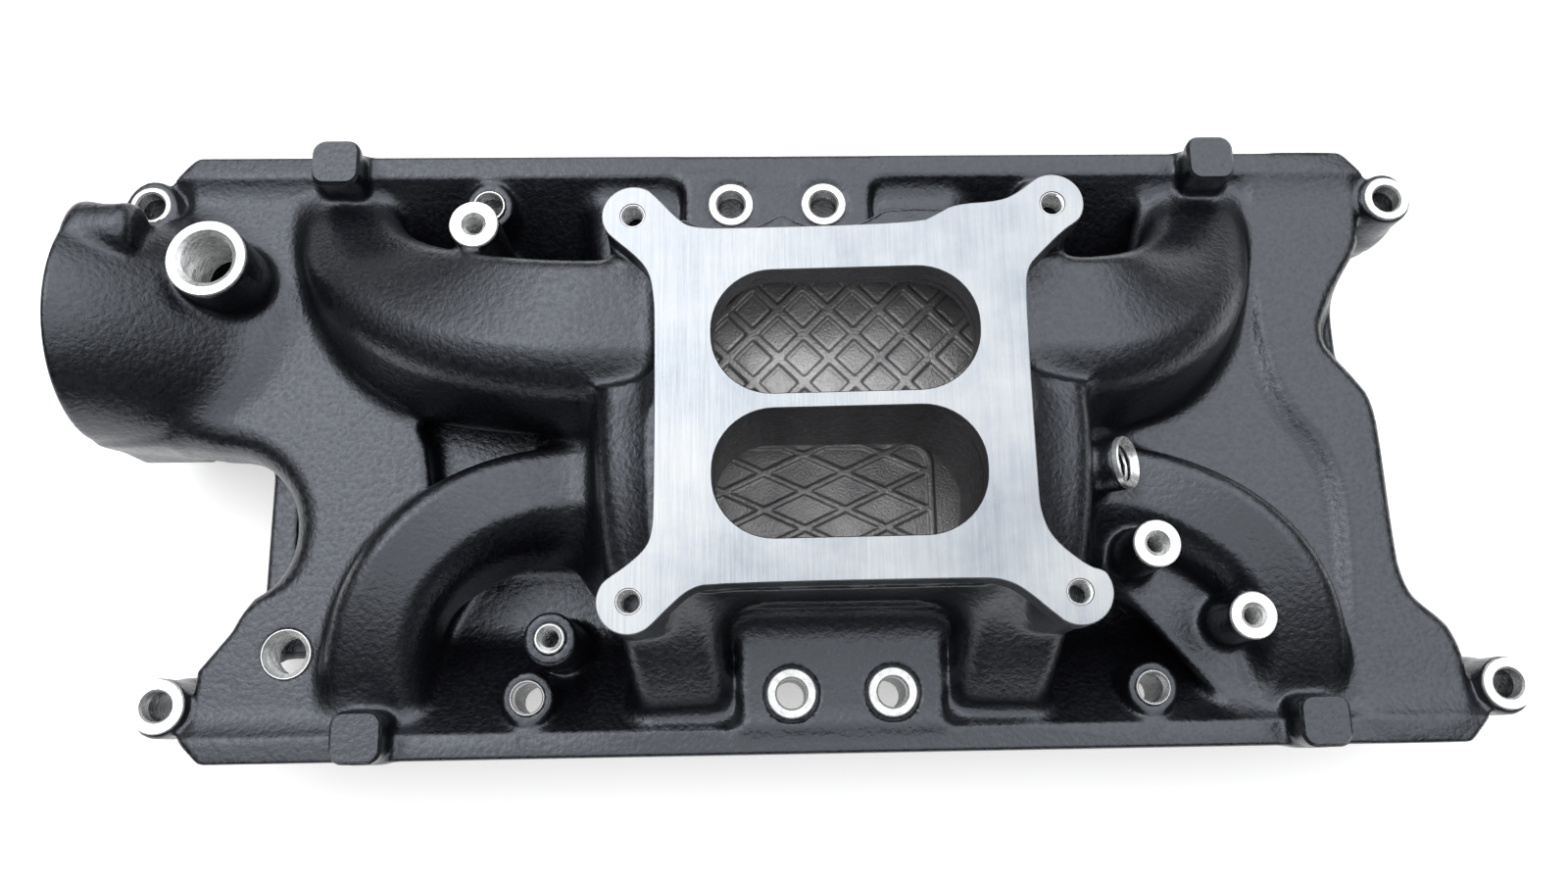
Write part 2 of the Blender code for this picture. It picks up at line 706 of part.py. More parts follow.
def water_passage():
    """Core of the front water crossover, from one water port to the other."""
    points = [Vector(point) for point in WATER_WAY]
    loops = []
    for index, point in enumerate(points):
        before, after = points[max(index - 1, 0)], points[min(index + 1, len(points) - 1)]
        along = (after - before).normalized()
        loops.append(section(point, along.cross(Vector((0, 0, 1))), Vector((0, 0, 1)), WATER_WAY_HALF))
    return add_object("cut_water_passage", loft(loops))


def build_front_deck():
    deck = prism_z("front_water_crossover", front_deck_outline(), *DECK_Z)
    skins = neighbours("front", ("runner_passenger_front_outer", "runner_driver_front_outer"))
    sides = [inside_flange_cutter(f"cut_front_deck_{bank}", side) for bank, (side, _) in BANKS.items()]
    way_z, way_radius = NECK_WAY
    neck_way = rod("cut_neck_way", Vector((NECK_BACK_X - 8.0, NECK_Y, way_z)), Vector((1, -0.1, 0)),
                   40.0, way_radius, 16)
    heater_way = cylinder("cut_heater_way", HEATER_AT, HEATER_BORE - 0.7, way_z, 80.0, 16)
    sender = cylinder("cut_sender_seat", SENDER_AT, SENDER_RADIUS + GAP, SENDER_FOOT, 80.0, 20)
    sender_way = cylinder("cut_sender_way", SENDER_AT, SENDER_BORE - 1.6, way_z, 60.0, 12)
    cut(deck, *sides, *skins, water_passage(), neck_way, heater_way, sender, sender_way)
    finish(deck, COATED)


def build_front_pocket():
    """Lower floor behind the front deck's step, between the two front arms."""
    floor = prism_z("front_pocket_floor", front_pocket_outline(), *POCKET_Z)
    skins = neighbours("pocket", ("runner_passenger_front_outer", "runner_driver_front_outer"))
    cut(floor, *skins)
    finish(floor, COATED)


def build_rear_deck():
    deck = prism_z("rear_deck", REAR_DECK, *REAR_DECK_Z)
    skins = neighbours("rear", ("runner_passenger_rear_outer", "runner_driver_rear_outer"))
    sides = [inside_flange_cutter(f"cut_rear_deck_{bank}", side) for bank, (side, _) in BANKS.items()]
    cut(deck, *sides, *skins)
    finish(deck, COATED)


def rail_profile(top):
    """Bulkhead between the head flanges, from the end seal up to a deck's underside."""
    shift = GAP / DIAGONAL
    face_foot = FLANGE_FOOT_Z * 2 + FACE_OFFSET - shift
    outer = ((face_foot + FACE_OFFSET) / 2, (face_foot - FACE_OFFSET) / 2)
    inner_offset = BACK_OFFSET - shift
    inner = ((face_foot + inner_offset) / 2, (face_foot - inner_offset) / 2)
    half = [(FACE_OFFSET, 0.0), outer, inner, (top + inner_offset, top)]
    return half + [(-y, z) for y, z in reversed(half)]


def build_end_rails():
    half = RAIL_THICKNESS / 2
    for name, centre, top in (("front_end_rail", -RAIL_X, DECK_Z[0]),
                              ("rear_end_rail", RAIL_X, REAR_DECK_Z[0])):
        rail = prism_x(name, rail_profile(top - GAP), centre - half, centre + half)
        finish(rail, COATED)


def build_valley_floor():
    low, high = VALLEY_FLOOR_Z
    inner_offset = BACK_OFFSET - GAP / DIAGONAL
    profile = [(-low - inner_offset, low), (low + inner_offset, low),
               (high + inner_offset, high), (-high - inner_offset, high)]
    reach = RAIL_X - RAIL_THICKNESS / 2 - GAP
    finish(prism_x("valley_floor", profile, -reach, reach), COATED)


# ---------------------------------------------------------------- exhaust crossover


def crossover_loops(half_middle, half_end):
    """Sections of the exhaust passage, from the passenger flange to the driver flange."""
    x = Vector((1, 0, 0))
    loops = []
    ends = {}
    for bank, (side, bank_x) in BANKS.items():
        upward = Vector((0, side * DIAGONAL, DIAGONAL))
        centre = back_plane_point(side, bank_x, EXHAUST_PORT_Y)
        ends[bank] = section(centre, x, upward, half_end)
    loops.append(ends["passenger"])
    for y in CROSSOVER_STATIONS:
        centre = Vector((-BANK_OFFSET * y / CROSSOVER_STATIONS[0], y, CROSSOVER_Z))
        loops.append(section(centre, x, Vector((0, 0, 1)), half_middle))
    loops.append(ends["driver"])
    return loops


def build_exhaust_crossover():
    outer_end = tuple(size / 2 + CROSSOVER_WALL for size in EXHAUST_PORT_SIZE)
    inner_end = tuple(size / 2 for size in EXHAUST_PORT_SIZE)
    inner_middle = tuple(h - CROSSOVER_WALL for h in CROSSOVER_HALF)
    bm = hollow(crossover_loops(CROSSOVER_HALF, outer_end), crossover_loops(inner_middle, inner_end))
    finish(add_object("exhaust_crossover", bm), COATED)


def build_crossover_blocks():
    for bank, (side, bank_x) in BANKS.items():
        name = f"crossover_block_{bank}"
        y = sorted(side * value for value in BLOCK_Y)
        block = box(name, (bank_x - BLOCK_HALF_LENGTH, bank_x + BLOCK_HALF_LENGTH), y, BLOCK_Z)
        skins = neighbours(f"block_{bank}", (f"runner_{bank}_front_inner", f"runner_{bank}_rear_inner"))
        inner, _ = bolt_places(bank)
        holes = [bolt_hole(f"cut_{name}_{index}", place) for index, place in enumerate(inner[1:3])]
        cut(block, inside_flange_cutter(f"cut_base_{name}", side), *skins, *holes)
        finish(block, COATED)


# ---------------------------------------------------------------- thermostat neck and ports


def build_neck():
    """Round neck with a bore and two bolt holes, notched to clear the flange's ear."""
    front = Vector((1, 0, 0))
    start = Vector((NECK_FACE_X, NECK_Y, NECK_Z))
    neck = rod("thermostat_neck", start, front, NECK_BACK_X - NECK_FACE_X, NECK_RADIUS, 40)
    bore = rod("cut_neck_bore", start - front * CUT_SPARE, front, CUT_TOP, NECK_BORE / 2, 32)
    dy, dz = NECK_BOLT_STEP
    bolts = [rod(f"cut_neck_bolt_{index}", start + Vector((-3.0, turn * dy, turn * dz)), front,
                 20.0, NECK_BOLT_HOLE / 2, 12)
             for index, turn in enumerate((1, -1))]
    ear_front = BANKS["passenger"][1] - OUTER_BOLT_STEP - FLANGE_EAR_RADIUS - 2 * GAP
    cut(neck, bore, *bolts, outer_boss_cutter("cut_neck_boss", "passenger", -1),
        inside_flange_cutter("cut_neck_flange", 1, ear_front))
    finish(neck, COATED)


def shoulder_loop(x, half_width, top):
    """Half-round section that stands on the front deck."""
    base = DECK_Z[1] + GAP
    height = top - base
    arc = [(NECK_Y + half_width * c, base + height * s)
           for c, s in circle((0, 0), 1.0, 13, 0.0, math.pi)]
    return [Vector((x, y, z)) for y, z in arc]


def build_shoulder():
    """Cast shoulder that fairs the thermostat neck down to the front deck."""
    loops = [shoulder_loop(*values) for values in SHOULDER_SECTIONS]
    shoulder = add_object("neck_shoulder", loft(loops))
    heater = cylinder("cut_shoulder_heater", HEATER_AT, HEATER_RADIUS + GAP, 0.0, CUT_TOP, 24)
    boss = outer_boss_cutter("cut_shoulder_boss", "passenger", -1)
    cut(shoulder, heater, boss)
    finish(shoulder, COATED)


def port_tube(name, place, outer, bore, bottom, top):
    tube = cylinder(name, place, outer, bottom, top, 24)
    cut(tube, cylinder(f"cut_bore_{name}", place, bore, 0.0, CUT_TOP, 20))
    finish(tube, COATED)


def build_vacuum_port():
    axis = VACUUM_AXIS.normalized()
    port = rod("vacuum_port_boss", VACUUM_AT - axis * 12.0, axis, 31.0, VACUUM_RADIUS, 24)
    bore = rod("cut_vacuum_bore", VACUUM_AT - axis * 20.0, axis, 60.0, VACUUM_BORE, 16)
    wall = box("cut_vacuum_wall", (60.0, UPPER_X[1] + GAP), (-60.0, 30.0), (60.0, 130.0))
    skins = neighbours("vacuum", ("runner_driver_rear_outer", "runner_driver_rear_inner"))
    cut(port, bore, wall, *skins)
    finish(port, COATED)


def build_stud_bosses():
    for name, place, top, radius in STUD_BOSSES:
        side = 1 if place[1] > 0 else -1
        bank = "passenger" if side > 0 else "driver"
        end = "front" if place[0] < 0 else "rear"
        boss = cylinder(name, place, radius, 40.0, top, 20)
        skins = neighbours(name, (f"runner_{bank}_{end}_outer",))
        hole = cylinder(f"cut_hole_{name}", place, STUD_BOSS_HOLE / 2, top - STUD_BOSS_HOLE_DEPTH,
                        top + 5.0, 12)
        cut(boss, inside_flange_cutter(f"cut_base_{name}", side), *skins, hole)
        finish(boss, COATED)


def place_origin():
    """Move the whole casting along X so that the origin lies midway along its length."""
    rear = BANK_OFFSET + OUTER_BOLT_STEP + FLANGE_EAR_RADIUS
    shift = Matrix.Translation(Vector((-(NECK_FACE_X + rear) / 2 * MM, 0, 0)))
    for item in bpy.data.objects:
        item.matrix_world = shift @ item.matrix_world


def main():
    clear_scene()
    make_material(COATED, (0.018, 0.019, 0.022), 0.42, 0.0)
    make_material(MACHINED, (0.80, 0.81, 0.82), 0.30, 1.0)
    build_carburettor_flange()
    build_upper_chamber()
    build_lower_chamber()
    build_well()
    build_divider()
    build_floor_plates()
    build_runners()
    for bank in BANKS:
        build_head_flange(bank)
        build_bolt_bosses(bank)
        build_posts(bank)
    build_front_deck()
    build_front_pocket()
    build_rear_deck()
    build_end_rails()
    build_valley_floor()
    build_exhaust_crossover()
    build_crossover_blocks()
    build_neck()
    build_shoulder()
    port_tube("heater_port_boss", HEATER_AT, HEATER_RADIUS, HEATER_BORE, DECK_Z[1] + GAP, HEATER_TOP)
    port_tube("temperature_sender_port", SENDER_AT, SENDER_RADIUS, SENDER_BORE, SENDER_FOOT + GAP,
              DECK_Z[1] + GAP)
    build_vacuum_port()
    build_stud_bosses()
    place_origin()


main()
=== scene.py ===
"""Looks of a dual-plane V8 intake manifold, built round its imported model.

The black casting is worked out as one distance field, so that its walls run into each other
in real fillets, and its surface is then divided into one patch for each section of the casting.
Machined faces, threads and the ridged plenum floors are pieces of their own.
Lengths are in millimetres until a mesh is written, and +X is the rear of the engine.
"""
import math

import bmesh
import bpy
import numpy as np
from mathutils import Matrix, Vector


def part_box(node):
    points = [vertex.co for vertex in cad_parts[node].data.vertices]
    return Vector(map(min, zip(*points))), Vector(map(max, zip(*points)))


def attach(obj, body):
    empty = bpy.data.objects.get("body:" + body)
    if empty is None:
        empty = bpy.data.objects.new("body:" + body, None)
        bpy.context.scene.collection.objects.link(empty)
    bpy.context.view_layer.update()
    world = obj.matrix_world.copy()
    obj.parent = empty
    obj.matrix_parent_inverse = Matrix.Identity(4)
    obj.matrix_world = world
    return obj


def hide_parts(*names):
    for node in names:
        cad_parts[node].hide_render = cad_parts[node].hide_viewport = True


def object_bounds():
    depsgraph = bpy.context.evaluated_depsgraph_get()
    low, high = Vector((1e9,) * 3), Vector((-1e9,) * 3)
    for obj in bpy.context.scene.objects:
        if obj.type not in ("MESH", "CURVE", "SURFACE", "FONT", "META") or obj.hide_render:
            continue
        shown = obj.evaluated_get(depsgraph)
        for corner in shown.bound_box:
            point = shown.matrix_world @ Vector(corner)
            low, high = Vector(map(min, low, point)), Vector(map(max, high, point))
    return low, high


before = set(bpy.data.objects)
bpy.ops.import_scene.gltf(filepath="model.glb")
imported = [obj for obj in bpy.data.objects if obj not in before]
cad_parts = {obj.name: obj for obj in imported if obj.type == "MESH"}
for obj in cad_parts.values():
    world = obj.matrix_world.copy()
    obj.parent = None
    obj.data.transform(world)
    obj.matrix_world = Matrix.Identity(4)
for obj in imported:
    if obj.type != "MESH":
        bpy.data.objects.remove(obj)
cad_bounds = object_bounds()

MM = 0.001
DIAGONAL = math.sqrt(0.5)
CORNERS = ((1, 1), (-1, 1), (-1, -1), (1, -1))
VOXEL = 1.25
FAR = 60.0
FACES_KEPT = 0.36

COAT = "satin_black_coat"
FLOOR = "plenum_floor_coat"
MILLED = "milled_aluminium"
SEAT = "turned_aluminium"


# ---------------------------------------------------------------- places read from the frame


def corners(node):
    low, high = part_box(node)
    return np.array(low) / MM, np.array(high) / MM


def middle(node):
    low, high = corners(node)
    return (low + high) / 2


SIDES = {"passenger": 1, "driver": -1}
BANK_X = {bank: middle(f"head_flange_{bank}")[0] for bank in SIDES}
BORE_SPACING = 111.25
PORT_STEPS = (-1.5, -0.5, 0.5, 1.5)
ARM_NAMES = ("front_outer", "front_inner", "rear_inner", "rear_outer")

FLANGE_LOW, FLANGE_HIGH = corners("head_flange_passenger")
OUTER_Y = FLANGE_HIGH[1]
RAIL_TOP = FLANGE_HIGH[2]
RAIL_LEDGE = 9.0
FLANGE_EDGE = 9.0
FACE_OFFSET = OUTER_Y - (RAIL_TOP - FLANGE_EDGE)
BACK_OFFSET = OUTER_Y - RAIL_LEDGE - RAIL_TOP
FLANGE_FOOT = FLANGE_LOW[2]
FLANGE_HALF_LENGTH = 224.0
PORT_Y = 78.5
PORT_SIZE = (26.4, 49.3)
PORT_WALL = (4.8, 5.4)
WATER_PORT = (205.0, 22.0, 34.0)
EXHAUST_PORT = (66.5, 28.0, 22.0)
SEAT_STEP = 18.0
SEAT_Y = middle("bolt_boss_passenger_front_inner")[1]
BOLT_TOP = corners("bolt_boss_passenger_front_inner")[1][2]
BOLT_HOLE = 5.25

PAD_LOW, PAD_HIGH = corners("carburetor_flange")
PAD_TILT = math.radians(3.2)
PAD_THICKNESS = 12.0
PAD_CAP = 1.1
STUD_HALF = (71.44, 65.88)
PAD = np.array([middle("carburetor_flange")[0] + PAD_THICKNESS / 2 * math.sin(PAD_TILT), 0.0,
                (PAD_LOW[2] + PAD_HIGH[2]) / 2 + PAD_THICKNESS / 2])
OPENING_Y = (23.2, -25.0)
OPENING_HALF = (44.7, 21.5)
OPENING_RADIUS = 20.5

UPPER_LOW, UPPER_HIGH = corners("plenum_upper_chamber")
UPPER_ROOF = 112.4
LOWER_LOW, LOWER_HIGH = corners("plenum_lower_chamber")
WELL_LOW, WELL_HIGH = corners("plenum_well")
CHAMBER_WALL_Y = 71.0
WALL = 4.0
ARM_WALL = 4.6
DECK_LOW, DECK_HIGH = corners("front_water_crossover")
REAR_LOW = corners("rear_deck")[0]
DECK_TOP = DECK_HIGH[2]
NECK_LOW, NECK_HIGH = corners("thermostat_neck")
NECK = (NECK_LOW + NECK_HIGH) / 2
NECK_RADIUS = (NECK_HIGH[2] - NECK_LOW[2]) / 2
NECK_BORE = 26.0
ABOVE = 140.0
STUD_BOSSES = {"stud_boss_front_passenger": 8.8, "stud_boss_front_driver": 5.3,
               "stud_boss_rear_driver_inner": 8.2, "stud_boss_rear_driver_outer": 8.2}


# ---------------------------------------------------------------- distances


def length(*parts):
    total = parts[0] ** 2
    for part in parts[1:]:
        total = total + part ** 2
    return np.sqrt(total)


def rounded(across, along, radius):
    """Distance of a body that lies inside two others, with its shared edge rounded."""
    a, b = across + radius, along + radius
    outside = length(np.maximum(a, 0), np.maximum(b, 0))
    return outside + np.minimum(np.maximum(a, b), 0) - radius


class Shape:
    """Signed distance together with the box that the body fills."""

    def __init__(self, low, high, distance):
        self.low, self.high, self.distance = np.array(low, float), np.array(high, float), distance

    def within(self, other):
        """The part of the body that lies where another distance is below zero."""
        return Shape(self.low, self.high, lambda *at: np.maximum(self.distance(*at), other(*at)))


def block(low, high, radius=2.0):
    low, high = np.array(low, float), np.array(high, float)
    centre, half = (low + high) / 2, (high - low) / 2 - radius

    def distance(x, y, z):
        gaps = [np.abs(v - c) - h for v, c, h in zip((x, y, z), centre, half)]
        outside = length(*(np.maximum(gap, 0) for gap in gaps))
        inside = np.minimum(np.maximum(np.maximum(gaps[0], gaps[1]), gaps[2]), 0)
        return outside + inside - radius
    return Shape(low, high, distance)


def upright(across, bottom, top, edge):
    """Distance of an upright prism, from that of its plan; edge is a radius or gives one."""
    def distance(x, y, z):
        radius = edge(x, y) if callable(edge) else edge
        return rounded(across(x, y), np.abs(z - (bottom + top) / 2) - (top - bottom) / 2, radius)
    return distance


def post(centre, radius, bottom, top, edge=1.0):
    """Upright cylinder."""
    x, y = centre[:2]
    return Shape((x - radius, y - radius, bottom), (x + radius, y + radius, top),
                 upright(lambda px, py: length(px - x, py - y) - radius, bottom, top, edge))


def bar(start, axis, reach, radius, edge=1.0):
    """Cylinder from start along a direction."""
    way = np.array(axis, float) / np.linalg.norm(axis)

    def distance(x, y, z):
        dx, dy, dz = x - start[0], y - start[1], z - start[2]
        along = dx * way[0] + dy * way[1] + dz * way[2]
        across = np.sqrt(np.maximum(dx ** 2 + dy ** 2 + dz ** 2 - along ** 2, 0)) - radius
        return rounded(across, np.abs(along - reach / 2) - reach / 2, edge)

    ends = np.array([start, start + way * reach])
    return Shape(ends.min(0) - radius, ends.max(0) + radius, distance)


def polygon_distance(u, v, points):
    """Signed distance in a plane to a closed outline, below zero inside."""
    points = np.array(points, float)
    best = np.full(np.broadcast(u, v).shape, 1e9, np.float32)
    inside = np.zeros(best.shape, bool)
    for (ax, ay), (bx, by) in zip(points, np.roll(points, -1, axis=0)):
        ex, ey = bx - ax, by - ay
        share = np.clip(((u - ax) * ex + (v - ay) * ey) / (ex * ex + ey * ey), 0, 1)
        best = np.minimum(best, (u - ax - share * ex) ** 2 + (v - ay - share * ey) ** 2)
        if abs(ey) > 1e-9:
            crosses = (ay > v) != (by > v)
            inside ^= crosses & (u < ax + ex * (v - ay) / ey)
    return np.where(inside, -1, 1) * np.sqrt(best)


def plate(outline, bottom, top, edge=2.0):
    """Upright prism on a plan outline."""
    (left, front), (right, back) = np.min(outline, axis=0), np.max(outline, axis=0)
    return Shape((left, front, bottom), (right, back, top),
                 upright(lambda x, y: polygon_distance(x, y, outline), bottom, top, edge))


def slab(profile, plan, edge=2.2):
    """Body with one outline (of Y and Z) seen from the end and another (of X and Y) seen from above."""
    def distance(x, y, z):
        return rounded(polygon_distance(y, z, profile), polygon_distance(x, y, plan), edge)

    low, high = (limit(profile, axis=0) for limit in (np.min, np.max))
    plan_low, plan_high = (limit(plan, axis=0) for limit in (np.min, np.max))
    return Shape((plan_low[0], max(low[0], plan_low[1]), low[1]),
                 (plan_high[0], min(high[0], plan_high[1]), high[1]), distance)


def rectangle(low, high):
    return [low, (high[0], low[1]), high, (low[0], high[1])]


def mixed(a, b, share):
    return a + (b - a) * share


class Arm:
    """Runner along a Bezier path whose section turns and grows from the plenum to its port."""

    COARSE = 24
    FINE = 128
    MARGIN = 34.0

    def __init__(self, path, start_normal, side, half, radii, sag=0.0, lean=0.0):
        self.side, self.half, self.radii, self.sag, self.lean = side, half, radii, sag, lean
        self.path = [np.array(p, float) for p in path]
        first = Vector(start_normal)
        last = Vector((0, side * DIAGONAL, -DIAGONAL))
        last_up = Vector((0, side * DIAGONAL, DIAGONAL))
        frames = []
        for share in np.linspace(0, 1, self.FINE):
            along = first.slerp(last, share)
            upward = Vector((0, 0, 1)).lerp(last_up, share * share)
            upward = (upward - along * upward.dot(along)).normalized()
            frames.append((along, along.cross(upward).normalized(), upward))
        self.along, self.across, self.upward = (np.array(axis) for axis in zip(*frames))

    def route(self, t):
        """Place, first and second derivative at shares t of the path."""
        a, b, c, d = self.path
        t = np.asarray(t)[..., None]
        u = 1 - t
        place = a * u ** 3 + b * 3 * u * u * t + c * 3 * u * t * t + d * t ** 3
        speed = 3 * ((b - a) * u * u + 2 * (c - b) * u * t + (d - c) * t * t)
        bend = 6 * ((c - 2 * b + a) * u + (d - 2 * c + b) * t)
        return place, speed, bend

    def shape(self, inner=False, corner=0.45, start=0.0, end=0.0):
        """The runner's outside or its bore, lengthened past its start and its end."""
        reach = 44.0 + start
        points = self.route(np.linspace(0, 1, self.COARSE))[0]
        points = np.vstack([points, points[0] - self.along[0] * (0 if inner else start)])

        def measure(x, y, z):
            places = np.stack(np.broadcast_arrays(x, y, z), axis=-1)
            best = np.full(places.shape[:-1], 1e9)
            nearest = np.zeros(best.shape)
            for share in np.linspace(0, 1, self.COARSE):
                gap = ((places - self.route(share)[0]) ** 2).sum(-1)
                nearest[gap < best] = share
                best = np.minimum(best, gap)
            near = best < reach ** 2
            result = np.full(best.shape, FAR)
            result[near] = self.section_distance(places[near], nearest[near], inner, corner, start, end)
            return result
        return Shape(points.min(0) - self.MARGIN, points.max(0) + self.MARGIN, measure)

    def section_distance(self, places, t, inner, corner, start, end):
        for _ in range(3):
            point, speed, bend = self.route(t)
            gap = point - places
            rate = (speed ** 2).sum(-1) + (gap * bend).sum(-1)
            step = (gap * speed).sum(-1) / np.maximum(rate, 0.25 * (speed ** 2).sum(-1))
            t = np.clip(t - step, 0, 1)
        offset = places - self.route(t)[0]
        where = t * (self.FINE - 1)
        low = np.minimum(where.astype(int), self.FINE - 2)
        share = (where - low)[:, None]
        side = (offset * mixed(self.across[low], self.across[low + 1], share)).sum(-1)
        rise = (offset * mixed(self.upward[low], self.upward[low + 1], share)).sum(-1)
        first = [h - (ARM_WALL if inner else 0) for h in self.half]
        last = [s / 2 + (0 if inner else w) for s, w in zip(PORT_SIZE, PORT_WALL)]
        half_side, half_rise = (f + (l - f) * t * t for f, l in zip(first, last))
        early = 1 - t * t
        start_radius = mixed(*self.radii, smooth_step(side, -10.0, 10.0))
        start_radius = start_radius - (ARM_WALL - 1 if inner else 0)
        radius = mixed(corner * np.minimum(half_side, half_rise), np.maximum(start_radius, 2.0), early)
        rise = rise + self.sag * early
        half_rise = half_rise + self.sag * early
        height = np.clip(0.5 + 0.5 * rise / half_rise, 0, 1)
        drawn_in = np.where(side * self.lean > 0, abs(self.lean) * early * height, 0)
        skin = rounded(np.abs(side) + drawn_in - half_side, np.abs(rise) - half_rise, radius)
        beyond = (places - self.path[3]) @ self.along[-1] - end
        before = -(places - self.path[0]) @ self.along[0] - start
        return np.maximum(skin, np.where(t > 0.5, beyond, before))


# ---------------------------------------------------------------- the casting's field


class Casting:
    """Signed distance on a regular grid, with the owner of the nearest body at each point."""

    def __init__(self, low, high, step):
        self.step = step
        self.low = np.array(low, float)
        counts = np.ceil((np.array(high) - self.low) / step).astype(int) + 1
        self.axes = [self.low[i] + step * np.arange(counts[i]) for i in range(3)]
        self.value = np.full(counts, FAR, np.float32)
        self.nearest = np.full(counts, FAR, np.float32)
        self.owner = np.zeros(counts, np.int16)
        self.owners = []

    def number(self, name):
        if name not in self.owners:
            self.owners.append(name)
        return self.owners.index(name)

    def window(self, low, high, margin=0.0):
        parts = []
        for axis, a, b in zip(self.axes, low, high):
            start = np.searchsorted(axis, a - margin)
            parts.append(slice(start, np.searchsorted(axis, b + margin)))
        places = np.meshgrid(*(axis[part] for axis, part in zip(self.axes, parts)),
                             indexing="ij", sparse=True)
        return tuple(parts), places

    def measured(self, shape, blend):
        part, places = self.window(shape.low, shape.high, blend + 3 * self.step)
        return part, np.broadcast_to(shape.distance(*places), self.value[part].shape).astype(np.float32)

    def add(self, name, shape, blend=4.0):
        """Joins a body to the casting with a fillet."""
        part, new = self.measured(shape, blend)
        old = self.value[part]
        share = np.clip(0.5 + 0.5 * (old - new) / blend, 0, 1)
        self.value[part] = old + (new - old) * share - blend * share * (1 - share)
        closer = new < self.nearest[part]
        self.nearest[part] = np.where(closer, new, self.nearest[part])
        self.owner[part] = np.where(closer, self.number(name), self.owner[part])

    def carve(self, shape, blend=1.5):
        """Cuts a body out of the casting, with an eased edge."""
        part, new = self.measured(shape, blend)
        old = self.value[part]
        share = np.clip(0.5 - 0.5 * (new + old) / blend, 0, 1)
        self.value[part] = old - (new + old) * share + blend * share * (1 - share)

    def relabel(self, name, old, low, high):
        part, _ = self.window(low, high)
        owner = self.owner[part]
        owner[owner == self.number(old)] = self.number(name)

    def sample(self, places):
        """Distance at any places, between the grid's points."""
        local = (places - self.low) / self.step
        base = np.clip(np.floor(local).astype(int), 0, np.array(self.value.shape) - 2)
        share = local - base
        total = np.zeros(len(places))
        for corner in np.ndindex(2, 2, 2):
            weight = np.prod([share[:, i] if corner[i] else 1 - share[:, i] for i in range(3)], axis=0)
            total += weight * self.value[tuple((base + corner).T)]
        return total

    def slope(self, places, reach=0.6):
        reach = reach * self.step
        parts = [(self.sample(places + reach * e) - self.sample(places - reach * e)) / (2 * reach)
                 for e in np.eye(3)]
        return np.stack(parts, axis=1)

    def surface(self):
        """Surface nets: one vertex in each cell that the surface crosses, then a projection."""
        inside = self.value < 0
        cells = np.zeros(np.array(inside.shape) - 1, np.int8)
        for corner in np.ndindex(2, 2, 2):
            part = tuple(slice(c, c + n) for c, n in zip(corner, cells.shape))
            cells += inside[part]
        active = (cells > 0) & (cells < 8)
        places = np.argwhere(active)
        index = np.full(cells.shape, -1, np.int32)
        index[tuple(places.T)] = np.arange(len(places))
        values = {c: self.value[tuple((places + c).T)] for c in np.ndindex(2, 2, 2)}
        total, count = np.zeros((len(places), 3)), np.zeros(len(places))
        for axis in range(3):
            for corner in np.ndindex(2, 2, 2):
                if corner[axis]:
                    continue
                other = tuple(1 if i == axis else c for i, c in enumerate(corner))
                a, b = values[corner], values[other]
                crossed = (a < 0) != (b < 0)
                share = np.where(crossed, a / np.where(crossed, a - b, 1), 0)
                point = np.array(corner) + share[:, None] * np.eye(3)[axis]
                total += point * crossed[:, None]
                count += crossed
        points = self.low + (places + total / count[:, None]) * self.step
        for _ in range(2):
            slope = self.slope(points)
            pull = self.sample(points) / np.maximum((slope ** 2).sum(1), 0.25)
            points -= np.clip(pull, -0.5 * self.step, 0.5 * self.step)[:, None] * slope
        return points, self.quads(inside, index)

    def quads(self, inside, index):
        faces = []
        for axis in range(3):
            ahead = [slice(None)] * 3
            here = [slice(None)] * 3
            ahead[axis], here[axis] = slice(1, None), slice(None, -1)
            change = inside[tuple(here)].astype(np.int8) - inside[tuple(ahead)]
            first, second = [i for i in range(3) if i != axis]
            places = np.argwhere(change)
            ok = (places[:, first] > 0) & (places[:, second] > 0)
            ok &= (places[:, first] < index.shape[first]) & (places[:, second] < index.shape[second])
            places = places[ok]
            turn = change[tuple(places.T)] > 0
            around = []
            for da, db in ((0, 0), (1, 0), (1, 1), (0, 1)):
                cell = places.copy()
                cell[:, first] -= da
                cell[:, second] -= db
                around.append(index[tuple(cell.T)])
            quad = np.stack(around, axis=1)
            flip = turn if axis == 1 else ~turn
            quad[flip] = quad[flip][:, ::-1]
            faces.append(quad)
        return np.concatenate(faces)


# ---------------------------------------------------------------- what the casting is made of


def arms():
    """The eight runners by name, on the routes of the model's own runners."""
    found = {}
    for bank, side in SIDES.items():
        for index, place in enumerate(ARM_NAMES):
            port_x = BANK_X[bank] + PORT_STEPS[index] * BORE_SPACING
            end = np.array([port_x, side * PORT_Y, PORT_Y - BACK_OFFSET])
            towards = -1 if index < 2 else 1
            outer = place.endswith("outer")
            upper = outer == (bank == "passenger")
            if outer:
                plan = outer_route(end, side, towards, upper)
            elif upper:
                plan = upper_inner_route(end, towards)
            else:
                plan = lower_inner_route(end, towards)
            radii, sag, lean = (7.0, 7.0), 0.0, 0.0
            if outer:
                radii, sag, lean = (15.0, 6.0)[::-towards], 8.0 if upper else 3.0, towards * 13.0
            found[f"runner_{bank}_{place}"] = Arm(*plan[:2], side, plan[2], radii, sag, lean)
    return found


